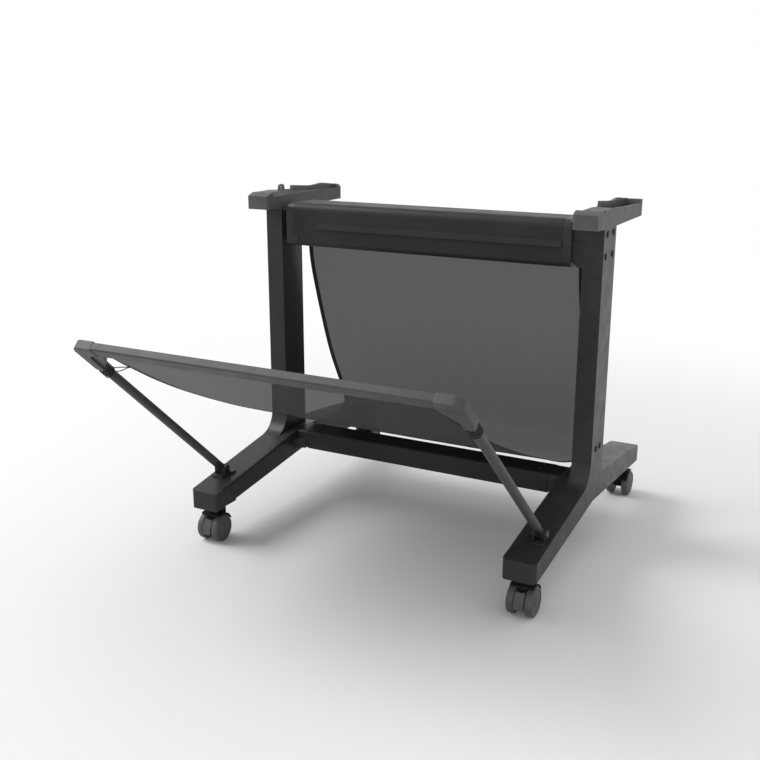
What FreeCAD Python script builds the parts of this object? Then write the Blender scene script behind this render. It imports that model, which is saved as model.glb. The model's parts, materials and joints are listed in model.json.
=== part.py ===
import FreeCAD, Part
import math
import os
import re

import Sketcher

# Floor stand of a large format plotter, with its fold-away catch basket.
# Lengths are in millimetres. X runs across the stand, Y from front to back, Z up.
# Heights start at the floor and depths at the front face of the uprights;
# origin_y then moves every piece so that the origin is under the middle of the stand.

os.makedirs("parts", exist_ok=True)
doc = FreeCAD.newDocument("PlotterStand")

DIMENSIONS = (
    # legs, feet and their covers
    ("leg_outer", 380),
    ("upright_thick", 40),
    ("upright_depth", 80),
    ("seat_height", 672.5),
    ("leg_wall", 4),
    ("leg_round", 5),
    ("foot_width", 65),
    ("foot_front_reach", 308),
    ("foot_rear_reach", 386),
    ("foot_bend_inset", 99),
    ("foot_arch_reach", 30),
    ("foot_front_tall", 39.5),
    ("foot_crown_rise", 88),
    ("foot_bend_rise", 64),
    ("foot_arch_rise", 40),
    ("foot_rear_rise", 13),
    ("foot_rear_tall", 36),
    ("foot_inset", 5.5),
    ("crown_blend", 50),
    ("cover_thick", 3),
    ("cover_end", 25),
    ("cover_edge", 1),
    ("fit_gap", 0.3),
    ("post_wall", 2.5),
    ("foot_bar_thick", 9),
    ("foot_bar_end", 8.5),
    # screws
    ("screw_shank", 3),
    ("screw_head", 5),
    ("screw_head_height", 4),
    ("screw_length", 12),
    ("screw_recess", 7),
    ("screw_sunk", 2),
    ("hex_socket", 2.4),
    ("screw_upper_drop", 12),
    ("screw_middle_drop", 54),
    ("screw_lower_rise", 63),
    ("beam_screw_head", 3),
    # head block and crossbar
    ("head_block_width", 20),
    ("head_block_drop", 5),
    ("head_block_tall", 71),
    ("head_bevel", 10),
    ("head_slot_drop", 22),
    ("crossbar_front", 13),
    ("crossbar_back_inset", 20),
    ("crossbar_rise", 16.5),
    ("crossbar_tall", 92.5),
    ("crossbar_brow", 17),
    ("crossbar_keel", 11),
    ("crossbar_wall", 6),
    ("end_cap_length", 18),
    ("end_cap_round", 14),
    ("end_cap_step", 0.4),
    ("rib_start", 54),
    ("rib_drop", 54),
    ("rib_tall", 13),
    ("rib_proud", 0.8),
    ("clip_width", 9),
    ("clip_tall", 12),
    # arms
    ("arm_overhang", 4.5),
    ("arm_width", 49),
    ("arm_front_reach", 61),
    ("arm_rear_reach", 249),
    ("arm_nose_lift", 3.5),
    ("arm_nose_slope", 16),
    ("arm_nose_edge", 4),
    ("arm_ledge", 11),
    ("arm_ledge_drop", 8.5),
    ("arm_ledge_start", 38),
    ("arm_face_drop", 6),
    ("rest_rise", 37.5),
    ("rest_margin", 1.5),
    ("pocket_start", 46),
    ("pocket_base", 21),
    ("pocket_end_wall", 12),
    ("arm_rim", 5.5),
    ("arm_rail", 18.5),
    ("fixing_front", 38),
    ("fixing_rear", 215),
    ("fixing_radius", 3.3),
    ("pin_radius", 7.4),
    ("pin_collar", 8.5),
    ("pin_rise", 12.5),
    ("pin_place", 31),
    ("pin_depth", 15),
    # lower beam
    ("beam_front", 6),
    ("beam_back_inset", 10),
    ("beam_rise", 2),
    ("beam_tall", 43),
    ("beam_wall", 2.5),
    ("beam_round", 5),
    ("bracket_length", 26),
    ("bracket_plug", 40),
    ("beam_screw_inset", 20),
    # cloth
    ("cloth_side_gap", 47),
    ("cloth_thick", 1.4),
    ("cloth_gap", 3),
    ("bag_reach", 150),
    ("bag_low_lift", 28.5),
    ("rod_radius", 5),
    ("rod_inset", 10),
    ("rod_drop", 54),
    ("rod_seat", 8),
    ("tie_half", 1.2),
    ("tie_drop", 69),
    ("tie_lift", 12),
    ("tie_fall", 12),
    # basket
    ("pivot_inset", 80),
    ("pivot_rise", 13.4),
    ("pivot_radius", 3),
    ("running_gap", 0.05),
    ("strut_inset", 22),
    ("strut_length", 520.5),
    ("strut_radius", 8.8),
    ("strut_wall", 1.5),
    ("strut_slope", 42.4),
    ("knuckle_swell", 1),
    ("knuckle_length", 34),
    ("ear_thick", 4),
    ("ear_gap", 0.4),
    ("ear_radius", 9),
    ("bracket_half", 19),
    ("bracket_base", 4),
    ("bar_overhang", 10.5),
    ("bar_depth", 15.6),
    ("bar_height", 24.6),
    ("bar_wall", 1.6),
    ("bar_round", 3),
    ("corner_along", 45),
    ("corner_down", 55),
    ("corner_collar", 22),
    ("corner_round", 16),
    ("corner_wall", 1.2),
    ("corner_web", 10),
    # casters
    ("front_caster_inset", 32),
    ("rear_caster_inset", 39),
    ("front_stem_inset", 49),
    ("rear_stem_inset", 16),
    ("caster_neck", 19.5),
    ("caster_trail", 17),
    ("wheel_radius", 29),
    ("wheel_width", 15.5),
    ("wheel_inside", 10.5),
    ("wheel_round", 3),
    ("wheel_dish", 2),
    ("hood_web", 9.6),
    ("hood_neck", 17),
    ("hood_clear", 1.2),
    ("hood_skin", 3),
    ("hood_wide", 23),
    ("boss_radius", 12),
    ("boss_tall", 14),
    ("axle_radius", 4),
    ("stem_radius", 5.5),
    ("socket_half", 25),
    ("socket_edge", 3),
    ("socket_drop", 2),
    ("socket_length", 75),
    ("rear_socket_drop", 14),
    ("rear_socket_length", 49),
    ("lever_back", 14.5),
    ("lever_up", 18),
    ("lever_pin_radius", 1.5),
    ("lever_hub", 3.5),
    ("lever_tongue", 3),
)

# What follows from them: each line is a formula over the names above and before it.
RULES = (
    ("upright_inner", "leg_outer - upright_thick"),
    ("foot_inner", "leg_outer - foot_width"),
    ("foot_front_under", "wheel_radius * 2 + caster_neck"),
    ("foot_front_top", "foot_front_under + foot_front_tall"),
    ("foot_crown", "foot_front_under + foot_crown_rise"),
    ("foot_arch", "foot_front_under + foot_arch_rise"),
    ("foot_bend_top", "foot_front_under + foot_bend_rise"),
    ("foot_bend_reach", "foot_rear_reach - foot_bend_inset"),
    ("foot_rear_under", "foot_front_under + foot_rear_rise"),
    ("foot_rear_top", "foot_rear_under + foot_rear_tall"),
    ("front_slope", "(foot_crown - foot_front_top) / foot_front_reach"),
    ("rear_slope", "(foot_bend_top - foot_rear_top) / foot_bend_inset"),
    ("under_slope", "(foot_arch - foot_front_under) / (foot_front_reach + foot_arch_reach)"),
    ("rear_under_slope", "(foot_arch - foot_rear_under) / (foot_rear_reach - foot_arch_reach)"),
    ("screw_upper", "seat_height - screw_upper_drop"),
    ("screw_middle", "seat_height - screw_middle_drop"),
    ("screw_lower", "foot_crown + screw_lower_rise"),
    ("block_inner", "upright_inner - head_block_width"),
    ("head_block_top", "seat_height - head_block_drop"),
    ("head_block_low", "head_block_top - head_block_tall"),
    ("crossbar_top", "seat_height + crossbar_rise"),
    ("crossbar_low", "crossbar_top - crossbar_tall"),
    ("crossbar_back", "upright_depth - crossbar_back_inset"),
    ("rib_height", "crossbar_top - rib_drop"),
    ("cap_start", "block_inner - end_cap_length"),
    ("arm_outer", "leg_outer + arm_overhang"),
    ("arm_inner", "arm_outer - arm_width"),
    ("rest_height", "seat_height + rest_rise"),
    ("arm_face_top", "rest_height - arm_face_drop"),
    ("rest_back", "pin_place - pin_collar - rest_margin"),
    ("pocket_floor", "seat_height + pocket_base"),
    ("fixing_x", "leg_outer - upright_thick / 2"),
    ("pin_height", "rest_height + pin_rise"),
    ("beam_half", "foot_inner - bracket_length"),
    ("beam_back", "upright_depth - beam_back_inset"),
    ("beam_top", "foot_crown + beam_rise"),
    ("beam_low", "beam_top - beam_tall"),
    ("beam_screw_x", "beam_half - beam_screw_inset"),
    ("strut_x", "leg_outer - strut_inset"),
    ("knuckle_radius", "strut_radius + knuckle_swell"),
    ("pivot_reach", "foot_front_reach - pivot_inset"),
    ("pivot_seat", "foot_crown - front_slope * pivot_reach"),
    ("pivot_height", "pivot_seat + pivot_rise"),
    ("fork_half", "strut_radius + ear_gap + ear_thick"),
    ("bar_half", "strut_x + bar_overhang"),
    ("bar_low", "strut_length - bar_height / 2"),
    ("cloth_half", "strut_x - cloth_side_gap"),
    ("rod_place", "upright_depth - rod_inset"),
    ("rod_height", "seat_height - rod_drop"),
    ("front_caster_x", "leg_outer - front_caster_inset"),
    ("rear_caster_x", "leg_outer - rear_caster_inset"),
    ("front_stem_reach", "foot_front_reach - front_stem_inset"),
    ("rear_stem_reach", "foot_rear_reach - rear_stem_inset"),
    ("hood_top", "wheel_radius * 2 + hood_neck"),
    ("boss_low", "hood_top - boss_tall"),
    ("basket_reach", "pivot_reach + strut_length * cos(strut_slope) + bar_depth / 2"),
    ("rear_reach", "rear_stem_reach + caster_trail + wheel_radius"),
    ("origin_y", "(basket_reach - rear_reach) / 2"),
)

sheet = doc.addObject("Spreadsheet::Sheet", "Sizes")
for row, (alias, number) in enumerate(DIMENSIONS, 1):
    sheet.set(f"A{row}", alias)
    sheet.set(f"B{row}", str(number))
    sheet.setAlias(f"B{row}", alias)
doc.recompute()

CELLS = {alias for alias, number in DIMENSIONS}
RULE_NAMES = {name for name, formula in RULES}
PLANE_TURNS = {"X": ((0, 1, 0), 90), "Y": ((1, 0, 0), -90), "Z": ((0, 0, 1), 0)}
SIDES = {"left": -1, "right": 1}
published = []


def bound(formula):
    """A formula over cells and rules, as an expression that any object can hold."""
    def prefixed(match):
        word = match.group(0)
        if word in CELLS:
            return f"Sizes.{word}"
        return f"Rules.{word}" if word in RULE_NAMES else word

    text = str(formula).replace("strut_slope", "strut_slope * 1deg")
    return re.sub(r"[a-z_]+", prefixed, text)


def bind(item, prop, formula):
    item.setExpression(prop, bound(formula))


rules = doc.addObject("App::VarSet", "Rules")
for name, formula in RULES:
    rules.addProperty("App::PropertyFloat", name)
for name, formula in RULES:
    bind(rules, name, formula)
doc.recompute()


def size(name):
    """The number that a cell of the sheet or a rule holds."""
    return float(sheet.get(name)) if name in CELLS else float(getattr(rules, name))


def block(name, corner, extent):
    """A box from its low corner and its three sizes."""
    item = doc.addObject("Part::Box", name)
    for prop, formula in zip(("Length", "Width", "Height"), extent):
        bind(item, prop, formula)
    for axis, formula in zip("xyz", corner):
        bind(item, f"Placement.Base.{axis}", formula)
    return item


def rod(name, axis, start, radius, length):
    """A cylinder that starts at a point and runs along X, Y or Z."""
    item = doc.addObject("Part::Cylinder", name)
    direction, angle = PLANE_TURNS[axis]
    item.Placement.Rotation = FreeCAD.Rotation(FreeCAD.Vector(*direction), angle)
    bind(item, "Radius", radius)
    bind(item, "Height", length)
    for coordinate, formula in zip("xyz", start):
        bind(item, f"Placement.Base.{coordinate}", formula)
    return item


def sketch_outline(body, name, plane, offset, points):
    """A closed outline of straight lines, each corner held to two formulas."""
    sketch = body.newObject("Sketcher::SketchObject", name)
    role = f"{plane}_Plane"
    support = [item for item in body.Origin.OriginFeatures if item.Role == role][0]
    sketch.AttachmentSupport = [(support, "")]
    sketch.MapMode = "FlatFace"
    bind(sketch, "AttachmentOffset.Base.z", offset)
    count = len(points)
    ring = [2 * math.pi * step / count for step in range(count)]
    start = [FreeCAD.Vector(100 * math.cos(turn), 100 * math.sin(turn), 0) for turn in ring]
    for step in range(count):
        sketch.addGeometry(Part.LineSegment(start[step], start[(step + 1) % count]))
    for step in range(count):
        sketch.addConstraint(Sketcher.Constraint("Coincident", step, 2, (step + 1) % count, 1))
    for step, corner in enumerate(points):
        for kind, formula in zip(("DistanceX", "DistanceY"), corner):
            index = sketch.addConstraint(Sketcher.Constraint(kind, -1, 1, step, 1, 1.0))
            bind(sketch, f"Constraints[{index}]", formula)
    return sketch


def pad(body, name, plane, offset, points, length):
    """Adds a prism to a body."""
    sketch = sketch_outline(body, f"{name}_outline", plane, offset, points)
    feature = body.newObject("PartDesign::Pad", name)
    feature.Profile = sketch
    bind(feature, "Length", length)
    return feature


def prism(name, plane, offset, points, length):
    """A body that holds one prism."""
    body = doc.addObject("PartDesign::Body", name)
    pad(body, f"{name}_pad", plane, offset, points, length)
    return body


def soften_edges(body, name, wanted, amount, kind="Fillet"):
    """Rounds or bevels the edges of a body whose middle and direction the test accepts."""
    doc.recompute()
    base = body.Tip
    names = []
    for index, edge in enumerate(base.Shape.Edges, 1):
        ends = [vertex.Point for vertex in edge.Vertexes]
        if len(ends) == 2 and wanted(edge.CenterOfMass, (ends[1] - ends[0]).normalize()):
            names.append(f"Edge{index}")
    if not names:
        raise RuntimeError(f"{name}: no edge found")
    feature = body.newObject(f"PartDesign::{kind}", name)
    feature.Base = (base, names)
    bind(feature, "Radius" if kind == "Fillet" else "Size", amount)
    body.Tip = feature


def cut(name, base, *tools):
    """A piece less one or more others."""
    item = doc.addObject("Part::Cut", name)
    item.Base = base
    item.Tool = tools[0] if len(tools) == 1 else gather(f"{name}_tools", tools)
    return item


def fuse(name, *pieces):
    item = doc.addObject("Part::MultiFuse", name)
    item.Shapes = list(pieces)
    item.Refine = True
    return item


def gather(name, pieces):
    """Separate solids kept together as one object."""
    item = doc.addObject("Part::Compound", name)
    item.Links = list(pieces)
    return item


def publish(item, label):
    """Names a sub-part of the stand and puts it in the stand's frame."""
    item.Label = label
    bind(item, "Placement.Base.y", "origin_y")
    published.append(item)


def publish_on_basket(item, label):
    """Names a sub-part drawn with its struts upright and leans it to the open basket."""
    item.Label = label
    item.Placement = FreeCAD.Placement(
        FreeCAD.Vector(0, 0, 0), FreeCAD.Rotation(FreeCAD.Vector(1, 0, 0), 45)
    )
    bind(item, "Placement.Base.y", "origin_y - pivot_reach")
    bind(item, "Placement.Base.z", "pivot_height")
    bind(item, "Placement.Rotation.Angle", "90deg - strut_slope")
    published.append(item)


def publish_on_caster(item, label, corner):
    """Names a sub-part drawn about its stem and sets it under its foot end."""
    item.Label = label
    end, side = corner
    turn = 180 if end == "front" else 0
    item.Placement = FreeCAD.Placement(
        FreeCAD.Vector(0, 0, 0), FreeCAD.Rotation(FreeCAD.Vector(0, 0, 1), turn)
    )
    bind(item, "Placement.Base.x", stem_across(corner))
    bind(item, "Placement.Base.y", f"origin_y + {stem_place(end)}")
    published.append(item)


def stem_place(end):
    return "(-front_stem_reach)" if end == "front" else "rear_stem_reach"


def stem_across(corner):
    end, side = corner
    return f"({SIDES[side]} * {end}_caster_x)"


def span_x(side, near, far):
    """Start and length of an X span given for the right side, on either side."""
    start = near if side == "right" else f"-({far})"
    return start, f"({far}) - ({near})"


def leg_outline(inset="0"):
    """Side outline of the foot, moved inward on every side by an inset."""
    return [
        (f"-foot_front_reach + {inset}", f"foot_front_under + {inset}"),
        (f"-foot_front_reach + {inset}", f"foot_front_top - {inset}"),
        ("0", f"foot_crown - {inset}"),
        ("upright_depth", f"foot_crown - {inset}"),
        ("foot_bend_reach", f"foot_bend_top - {inset}"),
        (f"foot_rear_reach - {inset}", f"foot_rear_top - {inset}"),
        (f"foot_rear_reach - {inset}", f"foot_rear_under + {inset}"),
        ("foot_arch_reach", f"foot_arch + {inset}"),
    ]


def upright_outline():
    """Foot outline with the upright standing on it."""
    points = leg_outline()
    points[3:3] = [("0", "seat_height"), ("upright_depth", "seat_height")]
    return points


# Each screw's name, its place behind the upright's front face and its height.
LEG_SCREWS = (
    ("upper_front", "upright_depth * 0.29", "screw_upper"),
    ("upper_rear", "upright_depth * 0.78", "screw_upper"),
    ("middle_front", "upright_depth * 0.23", "screw_middle"),
    ("middle_rear", "upright_depth * 0.78", "screw_middle"),
    ("lower_front", "upright_depth * 0.38", "screw_lower"),
    ("lower_rear", "upright_depth * 0.7", "screw_lower"),
)
BEAM_SCREWS = (("front", "beam_front + 20"), ("rear", "beam_back - 20"))
LEVER_PIVOT = ("(caster_trail + lever_back)", "(wheel_radius + lever_up)")


def make_leg_shell(side):
    """Outer moulding of a leg: the upright's front, back and outside, and the foot's."""
    body = doc.addObject("PartDesign::Body", f"leg_{side}")
    start, length = span_x(side, "upright_inner", "leg_outer")
    pad(body, f"upright_{side}", "YZ", start, upright_outline(), length)
    start, length = span_x(side, "foot_inner", "upright_inner")
    pad(body, f"foot_{side}", "YZ", start, leg_outline(), length)
    outer = SIDES[side] * size("leg_outer")
    inner = SIDES[side] * (size("leg_outer") - size("foot_width"))
    crown = size("foot_crown")
    soften_edges(
        body, f"crown_blend_{side}",
        lambda middle, way: abs(way.x) > 0.9 and abs(middle.z - crown) < 1 and abs(middle.y) < 1
        and abs(middle.x) > size("leg_outer") - size("upright_thick"),
        "crown_blend",
    )
    soften_edges(
        body, f"foot_ends_{side}",
        lambda middle, way: abs(way.z) > 0.9 and middle.z < crown
        and min(abs(middle.x - outer), abs(middle.x - inner)) < 1
        and not -1 < middle.y < size("upright_depth") + 1,
        "leg_round * 1.6",
    )
    cavity = leg_cavity(side)
    start, length = span_x(side, "foot_inner - 1", "foot_inner + cover_thick")
    rebate = block(
        f"foot_rebate_{side}", (start, "-foot_front_reach + cover_end", "0"),
        (length, "foot_front_reach + foot_rear_reach - 2 * cover_end", "foot_crown + 1"),
    )
    recesses = [screw_recess(side, *screw) for screw in LEG_SCREWS]
    bores = [stem_bore(side, end) for end in ("front", "rear")]
    publish(cut(f"leg_shell_{side}", body, rebate, *cavity, *recesses, *bores), f"leg_shell_{side}")


def leg_cavity(side):
    """Hollow of a leg, open on its inner side and under the arm."""
    start, length = span_x(side, "foot_inner + cover_thick - 1", "leg_outer - leg_wall")
    foot = prism(f"foot_hollow_{side}", "YZ", start, leg_outline("foot_inset"), length)
    start, length = span_x(side, "upright_inner - 1", "leg_outer - leg_wall")
    upright = block(
        f"upright_hollow_{side}",
        (start, "leg_wall", "foot_arch + foot_inset"),
        (length, "upright_depth - 2 * leg_wall", "seat_height - foot_arch"),
    )
    return foot, upright


def screw_recess(side, name, place, height):
    """Stepped hole for a leg screw, through the shell's outer wall."""
    start, length = span_x(side, "leg_outer - screw_sunk", "leg_outer + 1")
    wide = rod(f"recess_{name}_{side}", "X", (start, place, height), "screw_recess", length)
    start, length = span_x(side, "leg_outer - leg_wall - 1", "leg_outer")
    narrow = rod(
        f"shank_hole_{name}_{side}", "X", (start, place, height), "screw_shank + fit_gap", length
    )
    return fuse(f"screw_hole_{name}_{side}", wide, narrow)


def stem_bore(side, end):
    """Hole for a caster's stem through the floor of the foot."""
    place = (stem_across((end, side)), stem_place(end), "foot_front_under - 10")
    return rod(f"stem_bore_{end}_{side}", "Z", place, "stem_radius + fit_gap", "30")


def make_leg_post(side):
    """Steel tube inside the upright, which carries the arm and the crossbar."""
    near = "upright_inner + cover_thick + fit_gap"
    far = "leg_outer - leg_wall - fit_gap"
    start, length = span_x(side, near, far)
    margin = "(leg_wall + fit_gap)"
    floor = "(foot_crown - foot_inset)"
    tube = block(
        f"post_outside_{side}", (start, margin, floor),
        (length, f"upright_depth - 2 * {margin}", f"seat_height - {floor}"),
    )
    start, length = span_x(side, f"{near} + post_wall", f"{far} - post_wall")
    hollow = block(
        f"post_hollow_{side}", (start, f"{margin} + post_wall", f"{floor} - 1"),
        (length, f"upright_depth - 2 * ({margin} + post_wall)", f"seat_height - {floor} + 2"),
    )
    holes = []
    for name, place, height in LEG_SCREWS:
        start, length = span_x(side, f"{far} - post_wall - 1", f"{far} + 1")
        hole = rod(
            f"post_hole_{name}_{side}", "X", (start, place, height), "screw_shank + fit_gap", length
        )
        holes.append(hole)
    publish(cut(f"leg_post_{side}", tube, hollow, *holes), f"leg_post_{side}")


def make_foot_bar(side):
    """Steel bar along the inside of the foot, which holds both caster stems."""
    near = "foot_inner + cover_thick + 2"
    far = "leg_outer - leg_wall - 2"
    start, length = span_x(side, near, far)
    low = "(foot_inset + fit_gap)"
    end = "foot_bar_end"
    points = [
        (f"-foot_front_reach + {end}", f"foot_front_under + {low} + under_slope * {end}"),
        (f"-foot_front_reach + {end}", f"foot_front_under + {low} + under_slope * {end} + foot_bar_thick"),
        ("foot_arch_reach", f"foot_arch + {low} + foot_bar_thick"),
        (f"foot_rear_reach - {end}", f"foot_rear_under + {low} + rear_under_slope * {end} + foot_bar_thick"),
        (f"foot_rear_reach - {end}", f"foot_rear_under + {low} + rear_under_slope * {end}"),
        ("foot_arch_reach", f"foot_arch + {low}"),
    ]
    bar = prism(f"foot_bar_{side}_solid", "YZ", start, points, length)
    bores = []
    for end_name in ("front", "rear"):
        place = (stem_across((end_name, side)), stem_place(end_name), "foot_front_under")
        bores.append(rod(f"bar_bore_{end_name}_{side}", "Z", place, "stem_radius", "foot_bar_thick * 3"))
    publish(cut(f"foot_bar_{side}", bar, *bores), f"foot_bar_{side}")


def make_leg_covers(side):
    """Flat covers that close the inner side of the upright and of the foot."""
    start, length = span_x(side, "upright_inner", "upright_inner + cover_thick")
    margin = "(leg_wall + fit_gap)"
    low = "(foot_crown + 0.5)"
    upright = prism(
        f"upright_cover_{side}", "YZ", start,
        [
            (margin, low), (margin, "head_block_low - 0.5"),
            (f"upright_depth - {margin}", "head_block_low - 0.5"), (f"upright_depth - {margin}", low),
        ],
        length,
    )
    publish(upright, f"upright_cover_{side}")
    start, length = span_x(side, "foot_inner", "foot_inner + cover_thick")
    end = "(cover_end + fit_gap)"
    foot = prism(
        f"foot_cover_{side}", "YZ", start,
        [
            (f"-foot_front_reach + {end}", f"foot_front_under + under_slope * {end}"),
            (f"-foot_front_reach + {end}", f"foot_front_top + front_slope * {end}"),
            ("0", "foot_crown"), ("upright_depth", "foot_crown"), ("foot_bend_reach", "foot_bend_top"),
            (f"foot_rear_reach - {end}", f"foot_rear_top + rear_slope * {end}"),
            (f"foot_rear_reach - {end}", f"foot_rear_under + rear_under_slope * {end}"),
            ("foot_arch_reach", "foot_arch"),
        ],
        length,
    )
    hidden = SIDES[side] * (size("foot_inner") + size("cover_thick"))
    soften_edges(
        foot, f"foot_cover_edge_{side}", lambda middle, way: abs(middle.x - hidden) < 0.1,
        "cover_edge", "Chamfer",
    )
    publish(foot, f"foot_cover_{side}")


def make_leg_screws():
    """Socket-head screws that hold the shells to the posts."""
    screws = []
    for side in SIDES:
        for name, place, height in LEG_SCREWS:
            screws.append(leg_screw(side, name, place, height))
    publish(gather("leg_screws", screws), "leg_screws")


def leg_screw(side, name, place, height):
    outer = "(leg_outer - screw_sunk + screw_head_height)"
    seat = "(leg_outer - screw_sunk)"
    start, length = span_x(side, seat, outer)
    head = rod(f"head_{name}_{side}", "X", (start, place, height), "screw_head", length)
    start, length = span_x(side, f"{seat} - screw_length", seat)
    shank = rod(f"shank_{name}_{side}", "X", (start, place, height), "screw_shank", length)
    solid = fuse(f"screw_{name}_{side}", head, shank)
    start, length = span_x(side, f"{outer} - screw_head_height * 0.6", f"{outer} + 1")
    socket = hex_cutter(f"socket_{name}_{side}", (start, place, height), length, "X")
    return cut(f"leg_screw_{name}_{side}", solid, socket)


def hex_cutter(name, start, length, axis):
    item = doc.addObject("Part::Prism", name)
    direction, angle = PLANE_TURNS[axis]
    item.Polygon = 6
    item.Placement.Rotation = FreeCAD.Rotation(FreeCAD.Vector(*direction), angle)
    bind(item, "Circumradius", "hex_socket")
    bind(item, "Height", length)
    for coordinate, formula in zip("xyz", start):
        bind(item, f"Placement.Base.{coordinate}", formula)
    return item


def make_head_block(side):
    """Block on the upright's inner side that carries the crossbar's end."""
    start, length = span_x(side, "block_inner", "upright_inner")
    solid = prism(
        f"head_solid_{side}", "YZ", start,
        [
            ("0", "head_block_low"), ("0", "head_block_top"),
            ("upright_depth", "head_block_top"), ("upright_depth", "head_block_low"),
        ],
        length,
    )
    inner = SIDES[side] * size("block_inner")
    low = size("head_block_low")
    soften_edges(
        solid, f"head_bevel_{side}",
        lambda middle, way: abs(middle.x - inner) < 0.1 and abs(middle.z - low) < 0.1,
        "head_bevel", "Chamfer",
    )
    start, length = span_x(side, "block_inner - 1", "upright_inner - 2")
    slot = block(f"head_slot_{side}", (start, "-1", "head_block_top - head_slot_drop"), (length, "3", "2"))
    start, length = span_x(side, "block_inner - 1", "block_inner + rod_seat")
    seat = rod(f"rod_seat_{side}", "X", (start, "rod_place", "rod_height"), "rod_radius", length)
    publish(cut(f"head_block_{side}", solid, slot, seat), f"head_block_{side}")


def make_arm(side):
    """Arm on top of the upright that the plotter stands on."""
    start, length = span_x(side, "arm_inner", "arm_outer")
    base = prism(
        f"arm_base_{side}", "YZ", start,
        [
            ("-arm_front_reach", "seat_height + arm_nose_lift"),
            ("-arm_front_reach", "arm_face_top"),
            ("-arm_front_reach + arm_nose_slope", "rest_height"),
            ("rest_back", "rest_height"),
            ("rest_back + 30", "rest_height - 2.5"),
            ("pocket_start + 32", "rest_height - 3.5"),
            ("pocket_start + 76", "rest_height - 6.7"),
            ("pocket_start + 120", "rest_height - 8.1"),
            ("arm_rear_reach - pocket_end_wall", "rest_height - 11"),
            ("arm_rear_reach - 10", "rest_height - 3.5"),
            ("arm_rear_reach", "rest_height - 3.5"),
            ("arm_rear_reach", "seat_height"),
            ("0", "seat_height"),
        ],
        length,
    )
    inner = SIDES[side] * size("arm_inner")
    front = -size("arm_front_reach")
    soften_edges(
        base, f"arm_edge_{side}",
        lambda middle, way: abs(way.z) > 0.9 and abs(middle.x - inner) < 1 and abs(middle.y - front) < 1,
        "arm_nose_edge", "Chamfer",
    )
    start, length = span_x(side, "arm_inner + arm_ledge", "arm_inner + arm_rail")
    rail = prism(
        f"arm_rail_{side}", "YZ", start,
        [
            ("pocket_start + 9", "pocket_floor"),
            ("pocket_start + 9", "rest_height - 3"),
            ("pocket_start + 12", "rest_height + 8.5"),
            ("pocket_start + 46", "rest_height + 5.3"),
            ("pocket_start + 80", "rest_height + 2.4"),
            ("pocket_start + 99", "rest_height + 1.8"),
            ("pocket_start + 138", "rest_height + 4"),
            ("arm_rear_reach - 10", "rest_height - 2.5"),
            ("arm_rear_reach", "rest_height - 3"),
            ("arm_rear_reach", "pocket_floor"),
        ],
        length,
    )
    start, length = span_x(side, "arm_inner + arm_rail", "arm_outer - arm_rim")
    pocket = block(
        f"arm_pocket_{side}", (start, "pocket_start", "pocket_floor"),
        (length, "arm_rear_reach - pocket_end_wall - pocket_start", "40"),
    )
    sign = SIDES[side]
    ledge = prism(
        f"arm_ledge_{side}", "XZ", "-arm_rear_reach - 1",
        [
            (f"{sign} * arm_inner", "rest_height - arm_ledge_drop"),
            (f"{sign} * (arm_inner - 2)", "rest_height - arm_ledge_drop"),
            (f"{sign} * (arm_inner - 2)", "rest_height + 20"),
            (f"{sign} * (arm_inner + arm_ledge)", "rest_height + 20"),
            (f"{sign} * (arm_inner + arm_ledge)", "rest_height"),
        ],
        "arm_rear_reach + 1 + arm_ledge_start",
    )
    holes = [
        rod(
            f"fixing_hole_{end}_{side}", "Z",
            (f"{sign} * fixing_x", place, "seat_height - 1"), "fixing_radius", "60",
        )
        for end, place in (("front", "-fixing_front"), ("rear", "fixing_rear"))
    ]
    start, length = span_x(side, "arm_outer - 3", "arm_outer + 1")
    notch = block(f"arm_notch_{side}", (start, "-21.5", "rest_height - 5"), (length, "5", "6"))
    tools = [pocket, ledge, notch] + holes
    if side == "left":
        place = ("-fixing_x", "pin_place", "rest_height - pin_depth")
        tools.append(rod("pin_seat", "Z", place, "pin_radius * 0.6", "pin_depth + 1"))
    publish(cut(f"top_arm_{side}", fuse(f"arm_solid_{side}", base, rail), *tools), f"top_arm_{side}")


def make_locating_pin():
    """Round-headed pin on the left arm that the plotter drops over."""
    body = doc.addObject("PartDesign::Body", "locating_pin")
    low = "rest_height - pin_depth"
    collar = "rest_height"
    points = [
        ("0", low), ("pin_radius * 0.6", low), ("pin_radius * 0.6", collar),
        ("pin_collar", collar), ("pin_collar", f"{collar} + 1.5"),
        ("pin_radius", f"{collar} + 1.5"), ("pin_radius", "pin_height - 4"),
        ("pin_radius * 0.85", "pin_height - 1.5"), ("pin_radius * 0.5", "pin_height"), ("0", "pin_height"),
    ]
    sketch = sketch_outline(body, "pin_outline", "XZ", "0", points)
    turned = body.newObject("PartDesign::Revolution", "pin_turned")
    turned.Profile = sketch
    turned.ReferenceAxis = (sketch, ["V_Axis"])
    turned.Angle = 360
    body.Label = "locating_pin"
    bind(body, "Placement.Base.x", "-fixing_x")
    bind(body, "Placement.Base.y", "origin_y + pin_place")
    published.append(body)


def crossbar_outline(step):
    return [
        (f"-crossbar_front + {step}", f"crossbar_low + {step}"),
        (f"-crossbar_front + {step}", f"crossbar_top - {step}"),
        (f"crossbar_back - {step}", f"crossbar_top - {step}"),
        (f"crossbar_back - {step}", f"crossbar_low + {step}"),
    ]


def crossbar_section(name, start, length, step):
    """Length of the crossbar's rounded section."""
    body = prism(name, "YZ", start, crossbar_outline(step), length)
    front = -size("crossbar_front")
    top = size("crossbar_top")
    low = size("crossbar_low")
    soften_edges(
        body, f"{name}_brow",
        lambda middle, way: abs(way.x) > 0.9 and middle.y < front + 2 and middle.z > top - 2,
        "crossbar_brow",
    )
    soften_edges(
        body, f"{name}_keel",
        lambda middle, way: abs(way.x) > 0.9 and middle.z < low + 2,
        "crossbar_keel",
    )
    return body


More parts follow.
